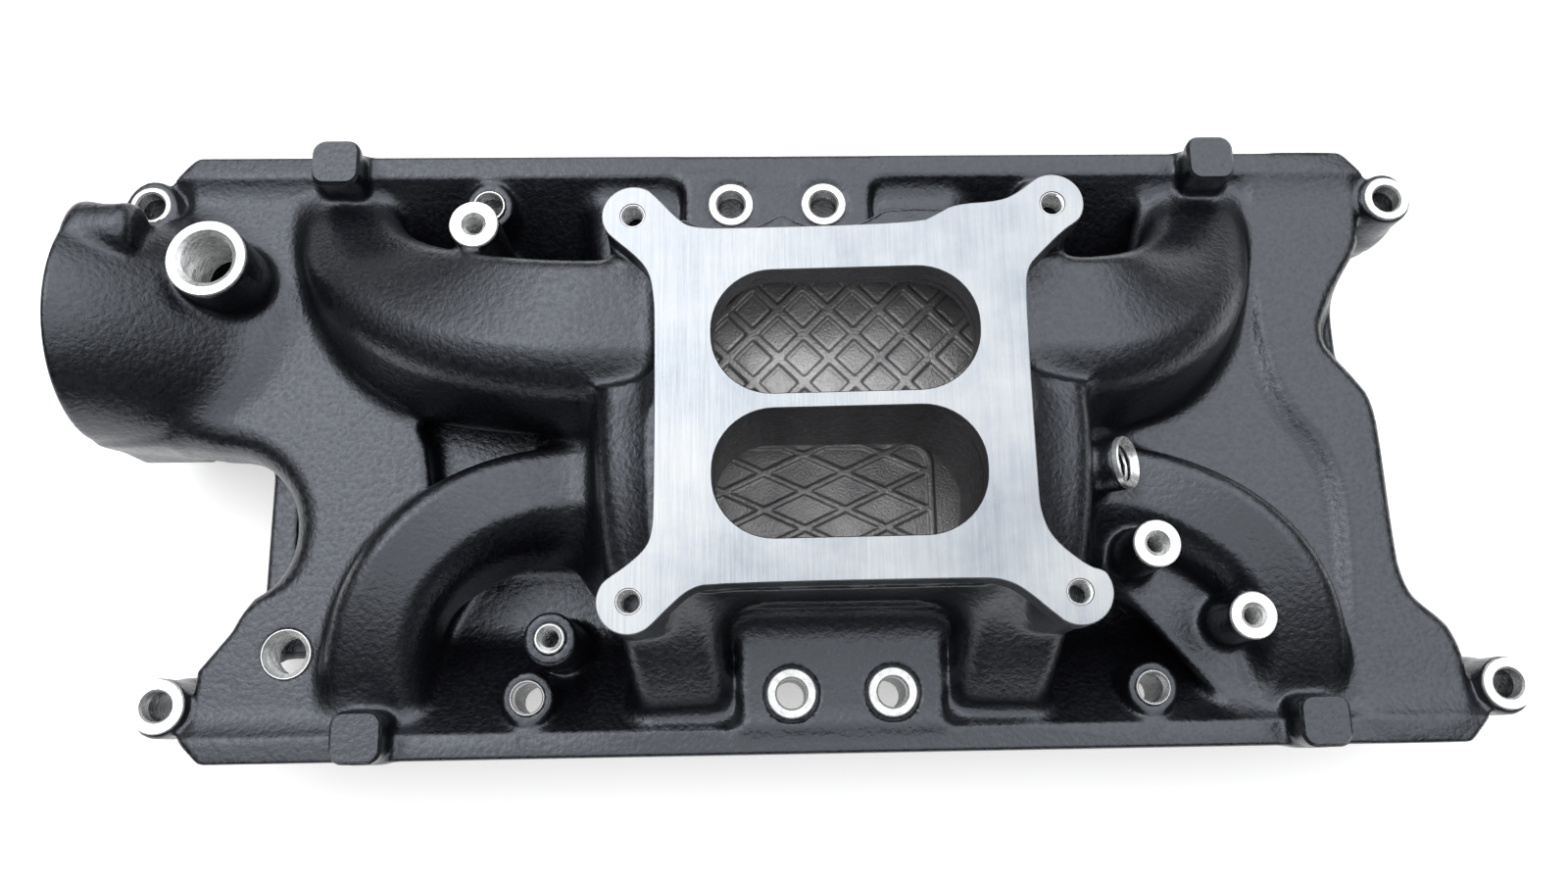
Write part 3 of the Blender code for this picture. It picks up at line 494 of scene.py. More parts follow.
def outer_route(end, side, towards, upper):
    low, high = (UPPER_LOW, UPPER_HIGH) if upper else (LOWER_LOW, LOWER_HIGH)
    wall = low[0] if towards < 0 else high[0]
    start = np.array([wall, side * (27.0 if upper else 24.0), 95.4 if upper else 58.0])
    reach = abs(end[0] - start[0])
    first = start + (towards * reach * 0.52, 0, 0.0 if upper else 10.0)
    second = end + (-towards * 3.0, -side * 30.0, 28.0)
    half = (29.5, 16.0) if upper else (22.0, 15.5)
    return (start, first, second, end), (towards, 0, 0), half


def upper_inner_route(end, towards):
    outer_wall = UPPER_LOW[0] if towards < 0 else UPPER_HIGH[0]
    inner_wall = WELL_LOW[0] - 2.6 if towards < 0 else WELL_HIGH[0] + 2.6
    half = (abs(outer_wall - inner_wall) / 2, 16.0)
    start = np.array([(outer_wall + inner_wall) / 2, UPPER_LOW[1], 95.4])
    first = start + (0, -46.0, 5.0)
    second = end + (towards * 1.5, 12.0, 32.0)
    return (start, first, second, end), (0, -1, 0), half


def lower_inner_route(end, towards):
    start = np.array([end[0] + (3.6 if towards < 0 else 0.0), LOWER_HIGH[1], 57.8])
    first = start + (0, 9.0, 0)
    second = end + (0, -10.0, 10.0)
    return (start, first, second, end), (0, 1, 0), (16.0, 15.0)


def ear_arc(ear, end, side, radius):
    angles = np.radians(np.linspace(-80, 120, 14))
    return [(ear[0] + end * radius * math.cos(a), ear[1] + side * radius * math.sin(a))
            for a in angles]


def flange_plan(bank):
    side, bank_x = SIDES[bank], BANK_X[bank]
    points = []
    for end, name in ((-1, "front_outer"), (1, "rear_outer")):
        ear = middle(f"bolt_boss_{bank}_{name}")
        foot = (bank_x + end * (FLANGE_HALF_LENGTH + 1), side * 40.0)
        neck = (ear[0] - end * 11.0, side * 82.0)
        corner = (bank_x + end * FLANGE_HALF_LENGTH, side * (OUTER_Y + 1))
        group = [foot, neck, *ear_arc(ear, end, side, 10.5), corner]
        points += group if end < 0 else group[::-1]
    return points


def flange_profile(side):
    foot_face = FLANGE_FOOT + FACE_OFFSET
    foot_back = (foot_face + FLANGE_FOOT + BACK_OFFSET) / 2
    return [(side * y, z) for y, z in (
        (OUTER_Y, RAIL_TOP), (OUTER_Y, RAIL_TOP - FLANGE_EDGE), (foot_face, FLANGE_FOOT),
        (foot_back, foot_back - BACK_OFFSET), (OUTER_Y - RAIL_LEDGE, RAIL_TOP))]


def cast_flanges(casting):
    for bank, side in SIDES.items():
        casting.add(f"head_flange_{bank}", slab(flange_profile(side), flange_plan(bank)), 1.0)


def cast_floor(casting):
    """Floor of the valley, filled up to the webs between the runners."""
    low, high = corners("valley_floor")
    top = 35.0
    reach = low[2] + BACK_OFFSET
    top_reach = top + BACK_OFFSET + 2
    profile = [(-reach, low[2]), (reach, low[2]), (top_reach, top), (-top_reach, top)]
    casting.add("valley_floor", slab(profile, rectangle((low[0], -90), (high[0], 90))), 5.0)


def cast_rails(casting):
    for name in ("front_end_rail", "rear_end_rail"):
        low, high = corners(name)
        top = high[2] + 2
        foot = FACE_OFFSET
        mid = FLANGE_FOOT + FACE_OFFSET
        half = [(foot, 0.0), (mid, mid - foot), (top + BACK_OFFSET, top)]
        profile = half + [(-y, z) for y, z in reversed(half)]
        casting.add(name, slab(profile, rectangle((low[0], -110), (high[0], 110)), 1.2), 3.0)


DISTRIBUTOR = ((BANK_X["passenger"] - 209.3, -31.3), 30.0)


def front_deck_plan():
    left = DECK_LOW[0]
    step = [(-136.9, -19.4), (-137.7, -10.1), (-139.2, -0.8), (-143.3, 8.6), (-149.8, 16.2),
            (-156.6, 20.9)]
    return [(left, 110.0), (left, 4.0), (-219.6, -0.6), *arc(*DISTRIBUTOR, 80, -55, 16), (-205.6, -68.0),
            (-216.6, -82.0), (-216.6, -110.0), (-154.6, -110.0), (-153.6, -62.0), (-131.6, -36.0),
            *step, (-163.6, 30.0), (-165.6, 52.0), (-173.6, 80.0), (-173.6, 110.0)]


def rear_deck_plan():
    return [(220.4, 110.0), (220.4, 78.0), (207.6, 59.7), (199.9, 43.8), (200.6, 33.8), (215.6, 16.1),
            (217.9, 4.5), (218.2, -49.8), (222.0, -62.5), (234.4, -73.0), (238.4, -84.0), (238.4, -110.0),
            (160.0, -110.0), (120.0, -62.0), (90.0, -20.0), (90.0, 30.0), (126.0, 60.0), (140.0, 110.0)]


def rear_band_plan():
    """Raised band along the rear edge of the rear deck."""
    inner = [(178.4, 60.0), (178.4, 40.0), (183.2, 14.1), (198.2, -5.6), (203.2, -26.0), (199.1, -74.3),
             (198.0, -110.0)]
    outer = [(238.4, -110.0), (238.4, -84.0), (234.4, -73.0), (222.0, -62.5), (218.2, -49.8),
             (217.9, 4.5), (215.6, 16.1), (200.6, 33.8), (199.9, 43.8), (207.6, 59.7), (220.4, 78.0),
             (220.4, 110.0), (178.0, 110.0)]
    return softened(inner + outer)


def rolled_edge(x, y):
    """Edge radius of the front deck: wide round the distributor's clearance, small elsewhere."""
    (cx, cy), radius = DISTRIBUTOR
    away = length(x - cx, y - cy) - radius
    return 2.5 + 8.5 * (1 - smooth_step(away, 12.0, 22.0)) * (1 - smooth_step(-y, 48.0, 64.0))


def inner_slopes(x, y, z):
    """Distance below the inner faces of the head flanges, which nothing between them passes."""
    return (np.abs(y) - z - BACK_OFFSET) * DIAGONAL


def cast_decks(casting):
    pocket_top = corners("front_pocket_floor")[1][2]
    pocket_plan = rectangle((-160, -40), (-60, 50))
    for name, shape, blend in (
            ("front_pocket_floor", plate(pocket_plan, 30.0, pocket_top, 4.0), 8.0),
            ("front_water_crossover", plate(front_deck_plan(), DECK_LOW[2], DECK_TOP, rolled_edge), 6.0),
            ("rear_deck", plate(rear_deck_plan(), REAR_LOW[2], DECK_TOP - 2.5, 2.5), 6.0),
            ("rear_deck", plate(rear_band_plan(), REAR_LOW[2], DECK_TOP, 2.5), 9.0)):
        casting.add(name, shape.within(inner_slopes), blend)


def cast_blocks(casting):
    for bank, side in SIDES.items():
        low, high = corners(f"crossover_block_{bank}")
        inner, outer = sorted((abs(low[1]), abs(high[1])))
        y = sorted((side * (inner - 12), side * outer))
        shape = block((low[0], y[0], low[2] - 14), (high[0], y[1], high[2]), 3.0)
        casting.add(f"crossover_block_{bank}", shape, 6.0)


def pad_height(x, drop=0.0):
    """Height of the carburettor flange's plane above a place on the X axis."""
    return PAD[2] - drop + (x - PAD[0]) * math.tan(PAD_TILT)


def pad_underside(x, y, z):
    return (z - pad_height(x, PAD_THICKNESS)) * math.cos(PAD_TILT)


def well_walls(x, y, z):
    """Plenum walls that spread downwards from under the carburettor flange."""
    front = (PAD[0] - 62.0 - x) * 0.858 + (z - 115.0) * 0.515
    rear = (x - PAD[0] - 60.0) * 0.809 + (z - 118.0) * 0.588
    ends = rounded(np.maximum(front, rear), np.abs(y + 26.0) - 36.0, 16.0)
    return np.maximum(ends, 62.0 - z)


def cast_plenum(casting):
    low, high = LOWER_LOW + (5.6, 0, 0), LOWER_HIGH - (2.4, 0, 0)
    casting.add("plenum_lower_chamber", block(low, high, 14.0), 8.0)
    low, high = (PAD[0] - 61.0, UPPER_LOW[1], 76.0), (PAD[0] + 58.0, CHAMBER_WALL_Y, 126.0)
    casting.add("plenum_upper_chamber", block(low, high, 12.0).within(pad_underside), 10.0)
    well = Shape((PAD[0] - 90, -64, 60), (PAD[0] + 96, 12, 126), well_walls)
    casting.add("plenum_well", well.within(pad_underside), 20.0)
    for sx, sy in CORNERS:
        ear = (PAD[0] + sx * STUD_HALF[0], sy * STUD_HALF[1])
        casting.add("carburetor_flange", post(ear, 10.0, 98.0, 140.0, 1.0).within(pad_underside), 8.0)


def scallops(casting):
    """Dished clearances in the plenum's passenger wall beside the two middle bolts."""
    for step in (-SEAT_STEP, SEAT_STEP):
        centre = (BANK_X["passenger"] + step, SEAT_Y)
        casting.carve(post(centre, 28.4, BOLT_TOP, ABOVE), 2.0)


def cast_neck(casting):
    """Round neck that sinks into the deck behind its face, with two lugs for its bolts."""
    front, back = NECK_LOW[0], NECK_LOW[0] + 78.0
    sink_from, sink_to = front + 2.0, front + 78.0
    drop = NECK[2] + NECK_RADIUS - DECK_TOP + 8.0

    def distance(x, y, z):
        t = np.clip((x - sink_from) / (sink_to - sink_from), 0, 1)
        centre = NECK[2] - drop * (0.35 * t * t * (3 - 2 * t) + 0.65 * t)
        slope = drop * (0.65 + 2.1 * t * (1 - t)) / (sink_to - sink_from)
        ring = (length(y - NECK[1], z - centre) - NECK_RADIUS) / np.sqrt(1 + slope ** 2)
        ring = np.where(x > DECK_LOW[0], np.maximum(ring, DECK_LOW[2] - z), ring)
        return rounded(ring, np.abs(x - (front + back) / 2) - (back - front) / 2, 1.6)

    neck = Shape((front, 0, 10), (back, 95, 114), distance)
    casting.add("thermostat_neck", neck, 9.0)
    low = (front, NECK_LOW[1] + 0.6, NECK_LOW[2] + 3.0)
    casting.add("thermostat_neck", block(low, (front + 31.0, NECK[1], NECK[2] - 3.0), 3.0), 5.0)
    casting.relabel("neck_shoulder", "thermostat_neck", neck.low + (29.0, 0, 0), neck.high)
    for turn in (1, -1):
        lug = (front, NECK[1] + turn * 26.5, NECK[2] + turn * 27.5)
        casting.add("thermostat_neck", bar(lug, (1, 0, 0), 24.0, 11.0, 5.0), 3.0)
    outer = middle("bolt_boss_passenger_front_outer")
    casting.carve(post(outer, 11.2, BOLT_TOP - 1.0, ABOVE), 2.5)
    boss_top = corners("heater_port_boss")[1][2] - 1.0
    heater = post(middle("heater_port_boss"), 14.5, DECK_TOP - 8, boss_top, 0.8)
    casting.add("heater_port_boss", heater, 4.0)


def post_plan(name, inset=0.4):
    """Plan of a casting post: a square with rounded corners."""
    low, high = corners(name)
    (x, y), half, radius = middle(name)[:2], (high[0] - low[0]) / 2 - inset, 5.0
    across = half - radius
    return [point for quadrant, (sx, sy) in enumerate(CORNERS)
            for point in arc((x + sx * across, y + sy * across), radius,
                             90 * quadrant, 90 * quadrant + 90, 7)]


def cast_bosses(casting):
    for bank in SIDES:
        for place in ("front_inner", "rear_inner", "front_outer", "rear_outer"):
            name = f"bolt_boss_{bank}_{place}"
            low, high = corners(name)
            radius = (high[0] - low[0]) / 2
            casting.add(name, post(middle(name), radius, low[2] - 8, high[2] - 0.8, 0.8), 4.0)
        for place in ("front", "rear"):
            name = f"casting_post_{bank}_{place}"
            low, high = corners(name)
            casting.add(name, plate(post_plan(name), low[2] - 8, high[2] - 2.0, 1.0), 4.0)
    for name in STUD_BOSSES:
        low, high = corners(name)
        radius = (high[0] - low[0]) / 2
        casting.add(name, post(middle(name), radius, 30.0, high[2] - 0.8, 0.8), 4.5)
    casting.add("vacuum_port_boss", bar(VACUUM_FOOT, VACUUM_AXIS, 30.2, 9.5, 0.8), 4.0)


VACUUM_AXIS = np.array((0.77, 0.03, 0.64)) / np.linalg.norm((0.77, 0.03, 0.64))
VACUUM_FOOT = np.array((UPPER_HIGH[0] + 0.3, -17.0, 84.0)) - VACUUM_AXIS * 12.0


def carve_openings(casting, runners):
    for arm in runners.values():
        casting.carve(arm.shape(inner=True, corner=0.6, start=5.0, end=22.0))
    low = np.array([PAD[0] - 57.0, UPPER_LOW[1] + WALL, UPPER_LOW[2] + WALL])
    casting.carve(block(low, (PAD[0] + 54.0, 60.5, UPPER_ROOF - 1.0), 4.0))
    casting.carve(block(LOWER_LOW + WALL, LOWER_HIGH - WALL, 5.0))
    for centre_y, floor in zip(OPENING_Y, (UPPER_LOW[2] + WALL, LOWER_LOW[2] + WALL)):
        outline = [(PAD[0] + x, y) for x, y in stadium(centre_y, 0.6)]
        casting.carve(plate(outline, floor, 150.0, 1.0), 1.0)
    for bank, side in SIDES.items():
        for end in (-1, 1):
            carve_port(casting, side, BANK_X[bank] + end * WATER_PORT[0], PORT_Y, WATER_PORT[1:])
        carve_port(casting, side, BANK_X[bank], EXHAUST_PORT[0], EXHAUST_PORT[1:])
    casting.carve(bar((NECK_LOW[0] - 5, NECK[1], NECK[2]), (1, 0, 0), 29.0, NECK_BORE))
    for turn in (1, -1):
        bolt = (NECK_LOW[0] - 5, NECK[1] + turn * 24.0, NECK[2] + turn * 25.0)
        casting.carve(bar(bolt, (1, 0, 0), 21.0, 4.0))


def carve_port(casting, side, x, y, size):
    """Port square to the head face, from that face to well behind the flange."""
    upward = Vector((0, side * DIAGONAL, DIAGONAL))
    inward = Vector((0, -side * DIAGONAL, DIAGONAL))
    centre = Vector((x, side * y, y - BACK_OFFSET))

    def distance(px, py, pz):
        rise = (py - centre.y) * upward.y + (pz - centre.z) * upward.z
        depth = (py - centre.y) * inward.y + (pz - centre.z) * inward.z
        section = rounded(np.abs(px - x) - size[0] / 2, np.abs(rise) - size[1] / 2, 0.6 * size[0] / 2)
        return np.maximum(section, np.abs(depth + 6.0) - 14.0)

    reach = np.array((size[0], size[1] / 2 + 16, size[1] / 2 + 16))
    casting.carve(Shape(np.array(centre) - reach, np.array(centre) + reach, distance))


def upright_hole(casting, centre, radius, bottom, top):
    casting.carve(post(centre, radius, bottom, top + 20.0, 0.5), 0.6)


def bolt_centres(bank):
    """Names and places of one bank's six head bolts."""
    found = {f"{place}": middle(f"bolt_boss_{bank}_{place}")
             for place in ("front_inner", "rear_inner", "front_outer", "rear_outer")}
    for label, step in (("front_middle", -SEAT_STEP), ("rear_middle", SEAT_STEP)):
        found[label] = np.array([BANK_X[bank] + step, SIDES[bank] * SEAT_Y, BOLT_TOP])
    return found


def carve_holes(casting):
    for bank in SIDES:
        for label, place in bolt_centres(bank).items():
            upright_hole(casting, place, BOLT_HOLE + 0.3, -10.0, 90.0)
            if label.endswith("middle"):
                upright_hole(casting, place, 9.8, BOLT_TOP - 1.2, 90.0)
    holes = {"heater_port_boss": (10.4, 40.0), "temperature_sender_port": (8.4, 16.0)}
    for name in ("heater_port_boss", "temperature_sender_port", *STUD_BOSSES):
        radius, depth = holes.get(name, (5.0, 19.0))
        top = corners(name)[1][2]
        upright_hole(casting, middle(name), radius, top - depth, top + 5)
    casting.carve(bar(VACUUM_FOOT + VACUUM_AXIS * 10.0, VACUUM_AXIS, 40.0, 7.2, 0.5), 0.6)


def stadium(centre_y, grow=0.0):
    """Plan outline of one carburettor opening, from the carburettor flange's centre."""
    across, along = (half - OPENING_RADIUS for half in OPENING_HALF)
    return [point for quadrant, (sx, sy) in enumerate(CORNERS)
            for point in arc((sx * across, centre_y + sy * along), OPENING_RADIUS + grow,
                             90 * quadrant, 90 * quadrant + 90, 13)]


def cast_everything():
    low = np.array(cad_bounds[0]) / MM - 4.0
    high = np.array(cad_bounds[1]) / MM + 4.0
    casting = Casting(low, high, VOXEL)
    runners = arms()
    cast_flanges(casting)
    cast_floor(casting)
    cast_rails(casting)
    cast_decks(casting)
    cast_blocks(casting)
    for name, arm in runners.items():
        blend = 5.5 if name.endswith("outer") else 7.0
        start = 34.0 if name.endswith("outer") else 8.0
        casting.add(name, arm.shape(start=start), blend)
    cast_plenum(casting)
    scallops(casting)
    cast_neck(casting)
    cast_bosses(casting)
    carve_openings(casting, runners)
    carve_holes(casting)
    return casting


# ---------------------------------------------------------------- meshes


def new_object(name, verts, faces):
    mesh = bpy.data.meshes.new(name)
    mesh.from_pydata([tuple(v) for v in np.asarray(verts) * MM], [], [tuple(f) for f in faces])
    item = bpy.data.objects.new(name, mesh)
    bpy.context.scene.collection.objects.link(item)
    return item


def thinned(points, quads):
    """Fewer, larger triangles where the surface is flat."""
    item = new_object("casting_surface", points, quads)
    modifier = item.modifiers.new("thin", "DECIMATE")
    modifier.ratio = FACES_KEPT
    mesh = item.evaluated_get(bpy.context.evaluated_depsgraph_get()).to_mesh()
    mesh.calc_loop_triangles()
    places = np.zeros(len(mesh.vertices) * 3, np.float32)
    mesh.vertices.foreach_get("co", places)
    triangles = np.zeros(len(mesh.loop_triangles) * 3, np.int32)
    mesh.loop_triangles.foreach_get("vertices", triangles)
    bpy.data.objects.remove(item)
    return places.reshape(-1, 3).astype(float) / MM, triangles.reshape(-1, 3)


def nearest_owner(casting, places):
    index = np.rint((places - casting.low) / casting.step).astype(int)
    index = np.clip(index, 0, np.array(casting.owner.shape) - 1)
    return casting.owner[tuple(index.T)]


def finish_piece(piece, material):
    piece.data.materials.clear()
    piece.data.materials.append(bpy.data.materials[material])
    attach(piece, "root")
    return piece


def cast_pieces(casting):
    """One patch of the casting's surface for each of its sections."""
    points, triangles = thinned(*casting.surface())
    normals = casting.slope(points, 0.8)
    normals /= np.maximum(np.linalg.norm(normals, axis=1), 1e-6)[:, None]
    owner = nearest_owner(casting, points[triangles].mean(axis=1))
    pieces = {}
    for number, name in enumerate(casting.owners):
        chosen = triangles[owner == number]
        if not len(chosen):
            continue
        used, local = np.unique(chosen, return_inverse=True)
        piece = new_object(f"cast_{name}", points[used], local.reshape(-1, 3))
        piece.data.shade_smooth()
        piece.data.normals_split_custom_set_from_vertices([tuple(n) for n in normals[used]])
        pieces[name] = finish_piece(piece, COAT)
        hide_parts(name)
    return pieces


def lathe(name, columns, centre, axis, angle):
    """Closed ring of bare metal, from equal columns of (radius, height) spread round an axis."""
    turn = Vector((0, 0, 1)).rotation_difference(Vector(axis).normalized()).to_matrix()
    count, size = len(columns), len(columns[0])
    verts, faces = [], []
    for step, column in enumerate(columns):
        around = 2 * math.pi * step / count
        for i, (radius, height) in enumerate(column):
            local = Vector((radius * math.cos(around), radius * math.sin(around), height))
            verts.append(Vector(centre) + turn @ local)
            a, b = step * size + i, step * size + (i + 1) % size
            faces.append((a, b, (b + size) % (count * size), (a + size) % (count * size)))
    piece = new_object(name, verts, faces)
    bm = bmesh.new()
    bm.from_mesh(piece.data)
    bmesh.ops.recalc_face_normals(bm, faces=bm.faces)
    bm.to_mesh(piece.data)
    bm.free()
    piece.data.shade_smooth()
    piece.data.set_sharp_from_angle(angle=math.radians(angle))
    return finish_piece(piece, SEAT)


def washer(name, centre, outer, inner, top, depth=3.0, chamfer=0.5, axis=(0, 0, 1), cap=1.1):
    """Machined ring with chamfered edges and a plain bore, a thin sleeve below its cap."""
    sleeve = inner + 0.7
    profile = [(inner, top - depth), (inner, top - chamfer), (inner + chamfer, top), (outer - 0.4, top),
               (outer, top - 0.4), (outer, top - cap), (sleeve, top - cap), (sleeve, top - depth)]
    return lathe(name, [profile] * 64, centre, axis, 32)


def threaded_ring(name, centre, outer, inner, top, depth, pitch, axis=(0, 0, 1), chamfer=1.0, cap=1.2):
    """Machined ring whose bore carries a helical thread; below its cap it is a thin sleeve."""
    around, steps = 60, 6
    crest = 0.6 * pitch
    sleeve = inner + crest + 0.5
    rows = int(depth / pitch * steps)
    cap_profile = [(sleeve, top - depth), (sleeve, top - cap), (outer, top - cap), (outer, top - 0.4),
                   (outer - 0.4, top), (inner + crest + chamfer * 0.8, top)]
    heights = [top - chamfer - (depth - chamfer) * row / rows for row in range(rows + 1)]
    columns = []
    for step in range(around):
        turns = [(height / pitch + step / around) % 1.0 for height in heights]
        thread = [(inner + crest * abs(2 * turn - 1), height) for turn, height in zip(turns, heights)]
        columns.append(cap_profile + thread)
    return lathe(name, columns, centre, axis, 30)


def outlined(name, outlines, thickness, bevel, place):
    """Flat piece with holes: the first outline is its rim; its top lies at height 0 of place."""
    curve = bpy.data.curves.new(name, "CURVE")
    curve.dimensions = "2D"
    curve.fill_mode = "BOTH"
    curve.extrude = (thickness / 2 - bevel) * MM
    curve.bevel_depth = bevel * MM
    curve.bevel_resolution = 0
    curve.offset = -bevel * MM
    for outline in outlines:
        spline = curve.splines.new("POLY")
        spline.points.add(len(outline) - 1)
        spline.points.foreach_set("co", [v for x, y in outline for v in (x * MM, y * MM, 0, 1)])
        spline.use_cyclic_u = True
    holder = bpy.data.objects.new(name + "_outline", curve)
    bpy.context.scene.collection.objects.link(holder)
    source = holder.evaluated_get(bpy.context.evaluated_depsgraph_get())
    mesh = bpy.data.meshes.new_from_object(source)
    bpy.data.objects.remove(holder)
    mesh.transform(Matrix.Translation((0, 0, -thickness / 2 * MM)))
    mesh.transform(place)
    mesh.name = name
    piece = bpy.data.objects.new(name, mesh)
    bpy.context.scene.collection.objects.link(piece)
    bm = bmesh.new()
    bm.from_mesh(mesh)
    bmesh.ops.remove_doubles(bm, verts=bm.verts, dist=1e-6)
    bm.to_mesh(mesh)
    bm.free()
    mesh.shade_smooth()
    mesh.set_sharp_from_angle(angle=math.radians(25))
    return piece


# ---------------------------------------------------------------- machined pieces


def arc(centre, radius, start, stop, count):
    angles = np.radians(np.linspace(start, stop, count))
    return [(centre[0] + radius * math.cos(a), centre[1] + radius * math.sin(a)) for a in angles]


def circle(centre, radius, count=40):
    return arc(centre, radius, 0, 360 - 360 / count, count)


def softened(points, rounds=2):
    """Corner-cutting, so that a rough outline turns into a smooth one."""
    points = np.array(points)
    for _ in range(rounds):
        following = np.roll(points, -1, axis=0)
        points = np.stack([0.75 * points + 0.25 * following, 0.25 * points + 0.75 * following], axis=1)
        points = points.reshape(-1, 2)
    return [tuple(p) for p in points]


def pad_rim():
    """Rim of the carburettor flange: a square body, an ear at each stud, fillets between."""
    left, right, top, bottom = -63.7, 60.5, 60.2, -60.7
    ear = 10.6
    x, y = STUD_HALF
    points = []
    points += [(right, 36.0), (right + 1.6, 43.5), (65.7, 47.4), (74.4, 55.9)]
    points += arc((x, y), ear, -38, 118, 12)
    points += [(60.7, 70.7), (54.2, 67.3), (38.4, 66.7), (32.5, 63.3), (26.0, top)]
    points += [(-42.0, top), (-50.0, top + 0.8), (-54.5, 62.5)]
    points += arc((-x, y), ear, 52, 222, 12)
    points += [(-69.5, 50.3), (-65.6, 44.8), (left - 0.5, 37.0), (left, 28.0)]
    points += [(left, -36.0), (left - 0.6, -44.0), (-66.2, -49.0), (-72.4, -54.4)]
    points += arc((-x, -y), ear, 140, 312, 12)
    points += [(-58.5, -67.9), (-52.0, -62.3), (-45.0, bottom)]
    points += [(40.0, bottom), (47.6, -61.4), (53.7, -64.2)]
    points += arc((x, -y), ear, 230, 400, 12)
    points += [(74.5, -57.8), (64.1, -48.8), (right + 0.4, -40.5), (right, -32.0)]
    return softened(points, 2)


def pad_place():
    turn = Matrix.Rotation(-PAD_TILT, 4, "Y")
    return Matrix.Translation(Vector(PAD) * MM) @ turn


def carburetor_flange():
    """Black plate whose top alone is machined bright."""
    holes = [circle((sx * STUD_HALF[0], sy * STUD_HALF[1]), 4.1, 32) for sx, sy in CORNERS]
    outlines = [pad_rim(), *(stadium(centre_y) for centre_y in OPENING_Y), *holes]
    below = pad_place() @ Matrix.Translation((0, 0, -PAD_CAP * MM))
    top = outlined("carburetor_flange_top", outlines, PAD_CAP, 0.3, pad_place())
    body = outlined("carburetor_flange_body", outlines, PAD_THICKNESS - PAD_CAP, 0.15, below)
    finish_piece(top, MILLED)
    finish_piece(body, COAT)
    for piece in (top, body):
        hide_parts("carburetor_flange")


def post_tops():
    """Crisp tops of the four casting posts."""
    for bank in SIDES:
        for place in ("front", "rear"):
            name = f"casting_post_{bank}_{place}"
            lift = Matrix.Translation((0, 0, corners(name)[1][2] * MM))
            top = outlined(f"{name}_top", [post_plan(name, 0.0)], 5.0, 1.1, lift)
            finish_piece(top, COAT)
            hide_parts(name)


def stud_threads():
    place = pad_place()
    axis = place.to_3x3() @ Vector((0, 0, 1))
    for index, (sx, sy) in enumerate(((-1, 1), (1, 1), (-1, -1), (1, -1))):
        centre = place @ Vector((sx * STUD_HALF[0] * MM, sy * STUD_HALF[1] * MM, 0)) / MM
        threaded_ring(f"carburetor_stud_thread_{index + 1}", centre, 4.3, 3.2, -0.3, 11.4, 1.6, axis, 0.6)


def bolt_rings():
    """Bare metal on top of each head bolt's boss."""
    middle_radius = 8.8
    sizes = {"passenger_front_outer": 7.8, "passenger_front_inner": 6.0, "passenger_rear_inner": 6.0,
             "passenger_rear_outer": 8.9, "driver_front_outer": 9.7, "driver_front_inner": 6.2,
             "driver_rear_inner": 6.2, "driver_rear_outer": 9.4}
    for bank in SIDES:
        for label, place in bolt_centres(bank).items():
            outer = sizes.get(f"{bank}_{label}", middle_radius)
            top = BOLT_TOP - 0.3 if label.endswith("middle") else BOLT_TOP
            centre = (place[0], place[1], 0)
            washer(f"bolt_seat_{bank}_{label}", centre, outer, BOLT_HOLE, top, 6.0, 0.7)


def stud_rings():
    for name, outer in STUD_BOSSES.items():
        centre = (*middle(name)[:2], 0)
        threaded_ring(f"{name}_thread", centre, outer, 3.1, corners(name)[1][2], 18.0, 1.25, chamfer=0.8)


def port_rings():
    heater, sender = ((*middle(name)[:2], 0) for name in ("heater_port_boss", "temperature_sender_port"))
    top = corners("heater_port_boss")[1][2]
    threaded_ring("heater_port_thread", heater, 14.3, 8.9, top + 0.1, 26.0, 1.8, chamfer=1.2)
    threaded_ring("temperature_sender_thread", sender, 8.9, 6.6, DECK_TOP + 0.2, 14.0, 1.4, chamfer=1.6)
    threaded_ring("vacuum_port_thread", VACUUM_FOOT, 9.3, 6.4, 32.0, 24.0, 2.2, VACUUM_AXIS, 1.2, 2.2)
    bore = (NECK_LOW[0] + 4.0, NECK[1], NECK[2])
    face = washer("thermostat_face", bore, NECK_RADIUS - 1.0, NECK_BORE, 4.1, 3.0, 0.4, (-1, 0, 0))
    finish_piece(face, MILLED)


def smooth_step(value, low, high):
    t = np.clip((value - low) / (high - low), 0, 1)
    return t * t * (3 - 2 * t)


def ridged_floor(name, node, region, origin, angle, pitch, ridge, rise, border=None, spacing=0.5):
    """Floor plate with ridges crossing at plus and minus an angle, one crossing at the origin."""
    top = corners(node)[1][2]
    (left, front), (right, back) = region
    rows, columns = np.arange(left, right, spacing), np.arange(front, back, spacing)
    x, y = np.meshgrid(rows, columns, indexing="ij")
    gaps = []
    for turn in (angle, -angle):
        way = ((x - origin[0]) * math.cos(turn) + (y - origin[1]) * math.sin(turn)) / pitch
        gaps.append(np.abs(way - np.rint(way)) * pitch)
    gap = np.minimum(*gaps)
    wall = smooth_step(gap, ridge / 2 - 0.1, ridge / 2 + 0.6)
    groove = wall * (1 - smooth_step(gap, ridge / 2 + 0.8, ridge / 2 + 1.6))
    shape = rise * (1 - wall) - 0.3 * groove
    if border is not None:
        away = border(x, y)
        rim = rise * (1 - smooth_step(np.abs(away), ridge / 2 - 0.1, ridge / 2 + 0.6))
        shape = np.maximum(np.where(away < 0, shape, 0), rim)
    places = np.stack([x, y, top - 0.4 + shape], axis=-1).reshape(-1, 3)
    index = np.arange(len(places)).reshape(x.shape)
    quads = np.stack([index[:-1, :-1], index[1:, :-1], index[1:, 1:], index[:-1, 1:]], axis=-1)
    piece = new_object(name, places, quads.reshape(-1, 4))
    piece.data.shade_smooth()
    finish_piece(piece, FLOOR)
    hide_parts(node)


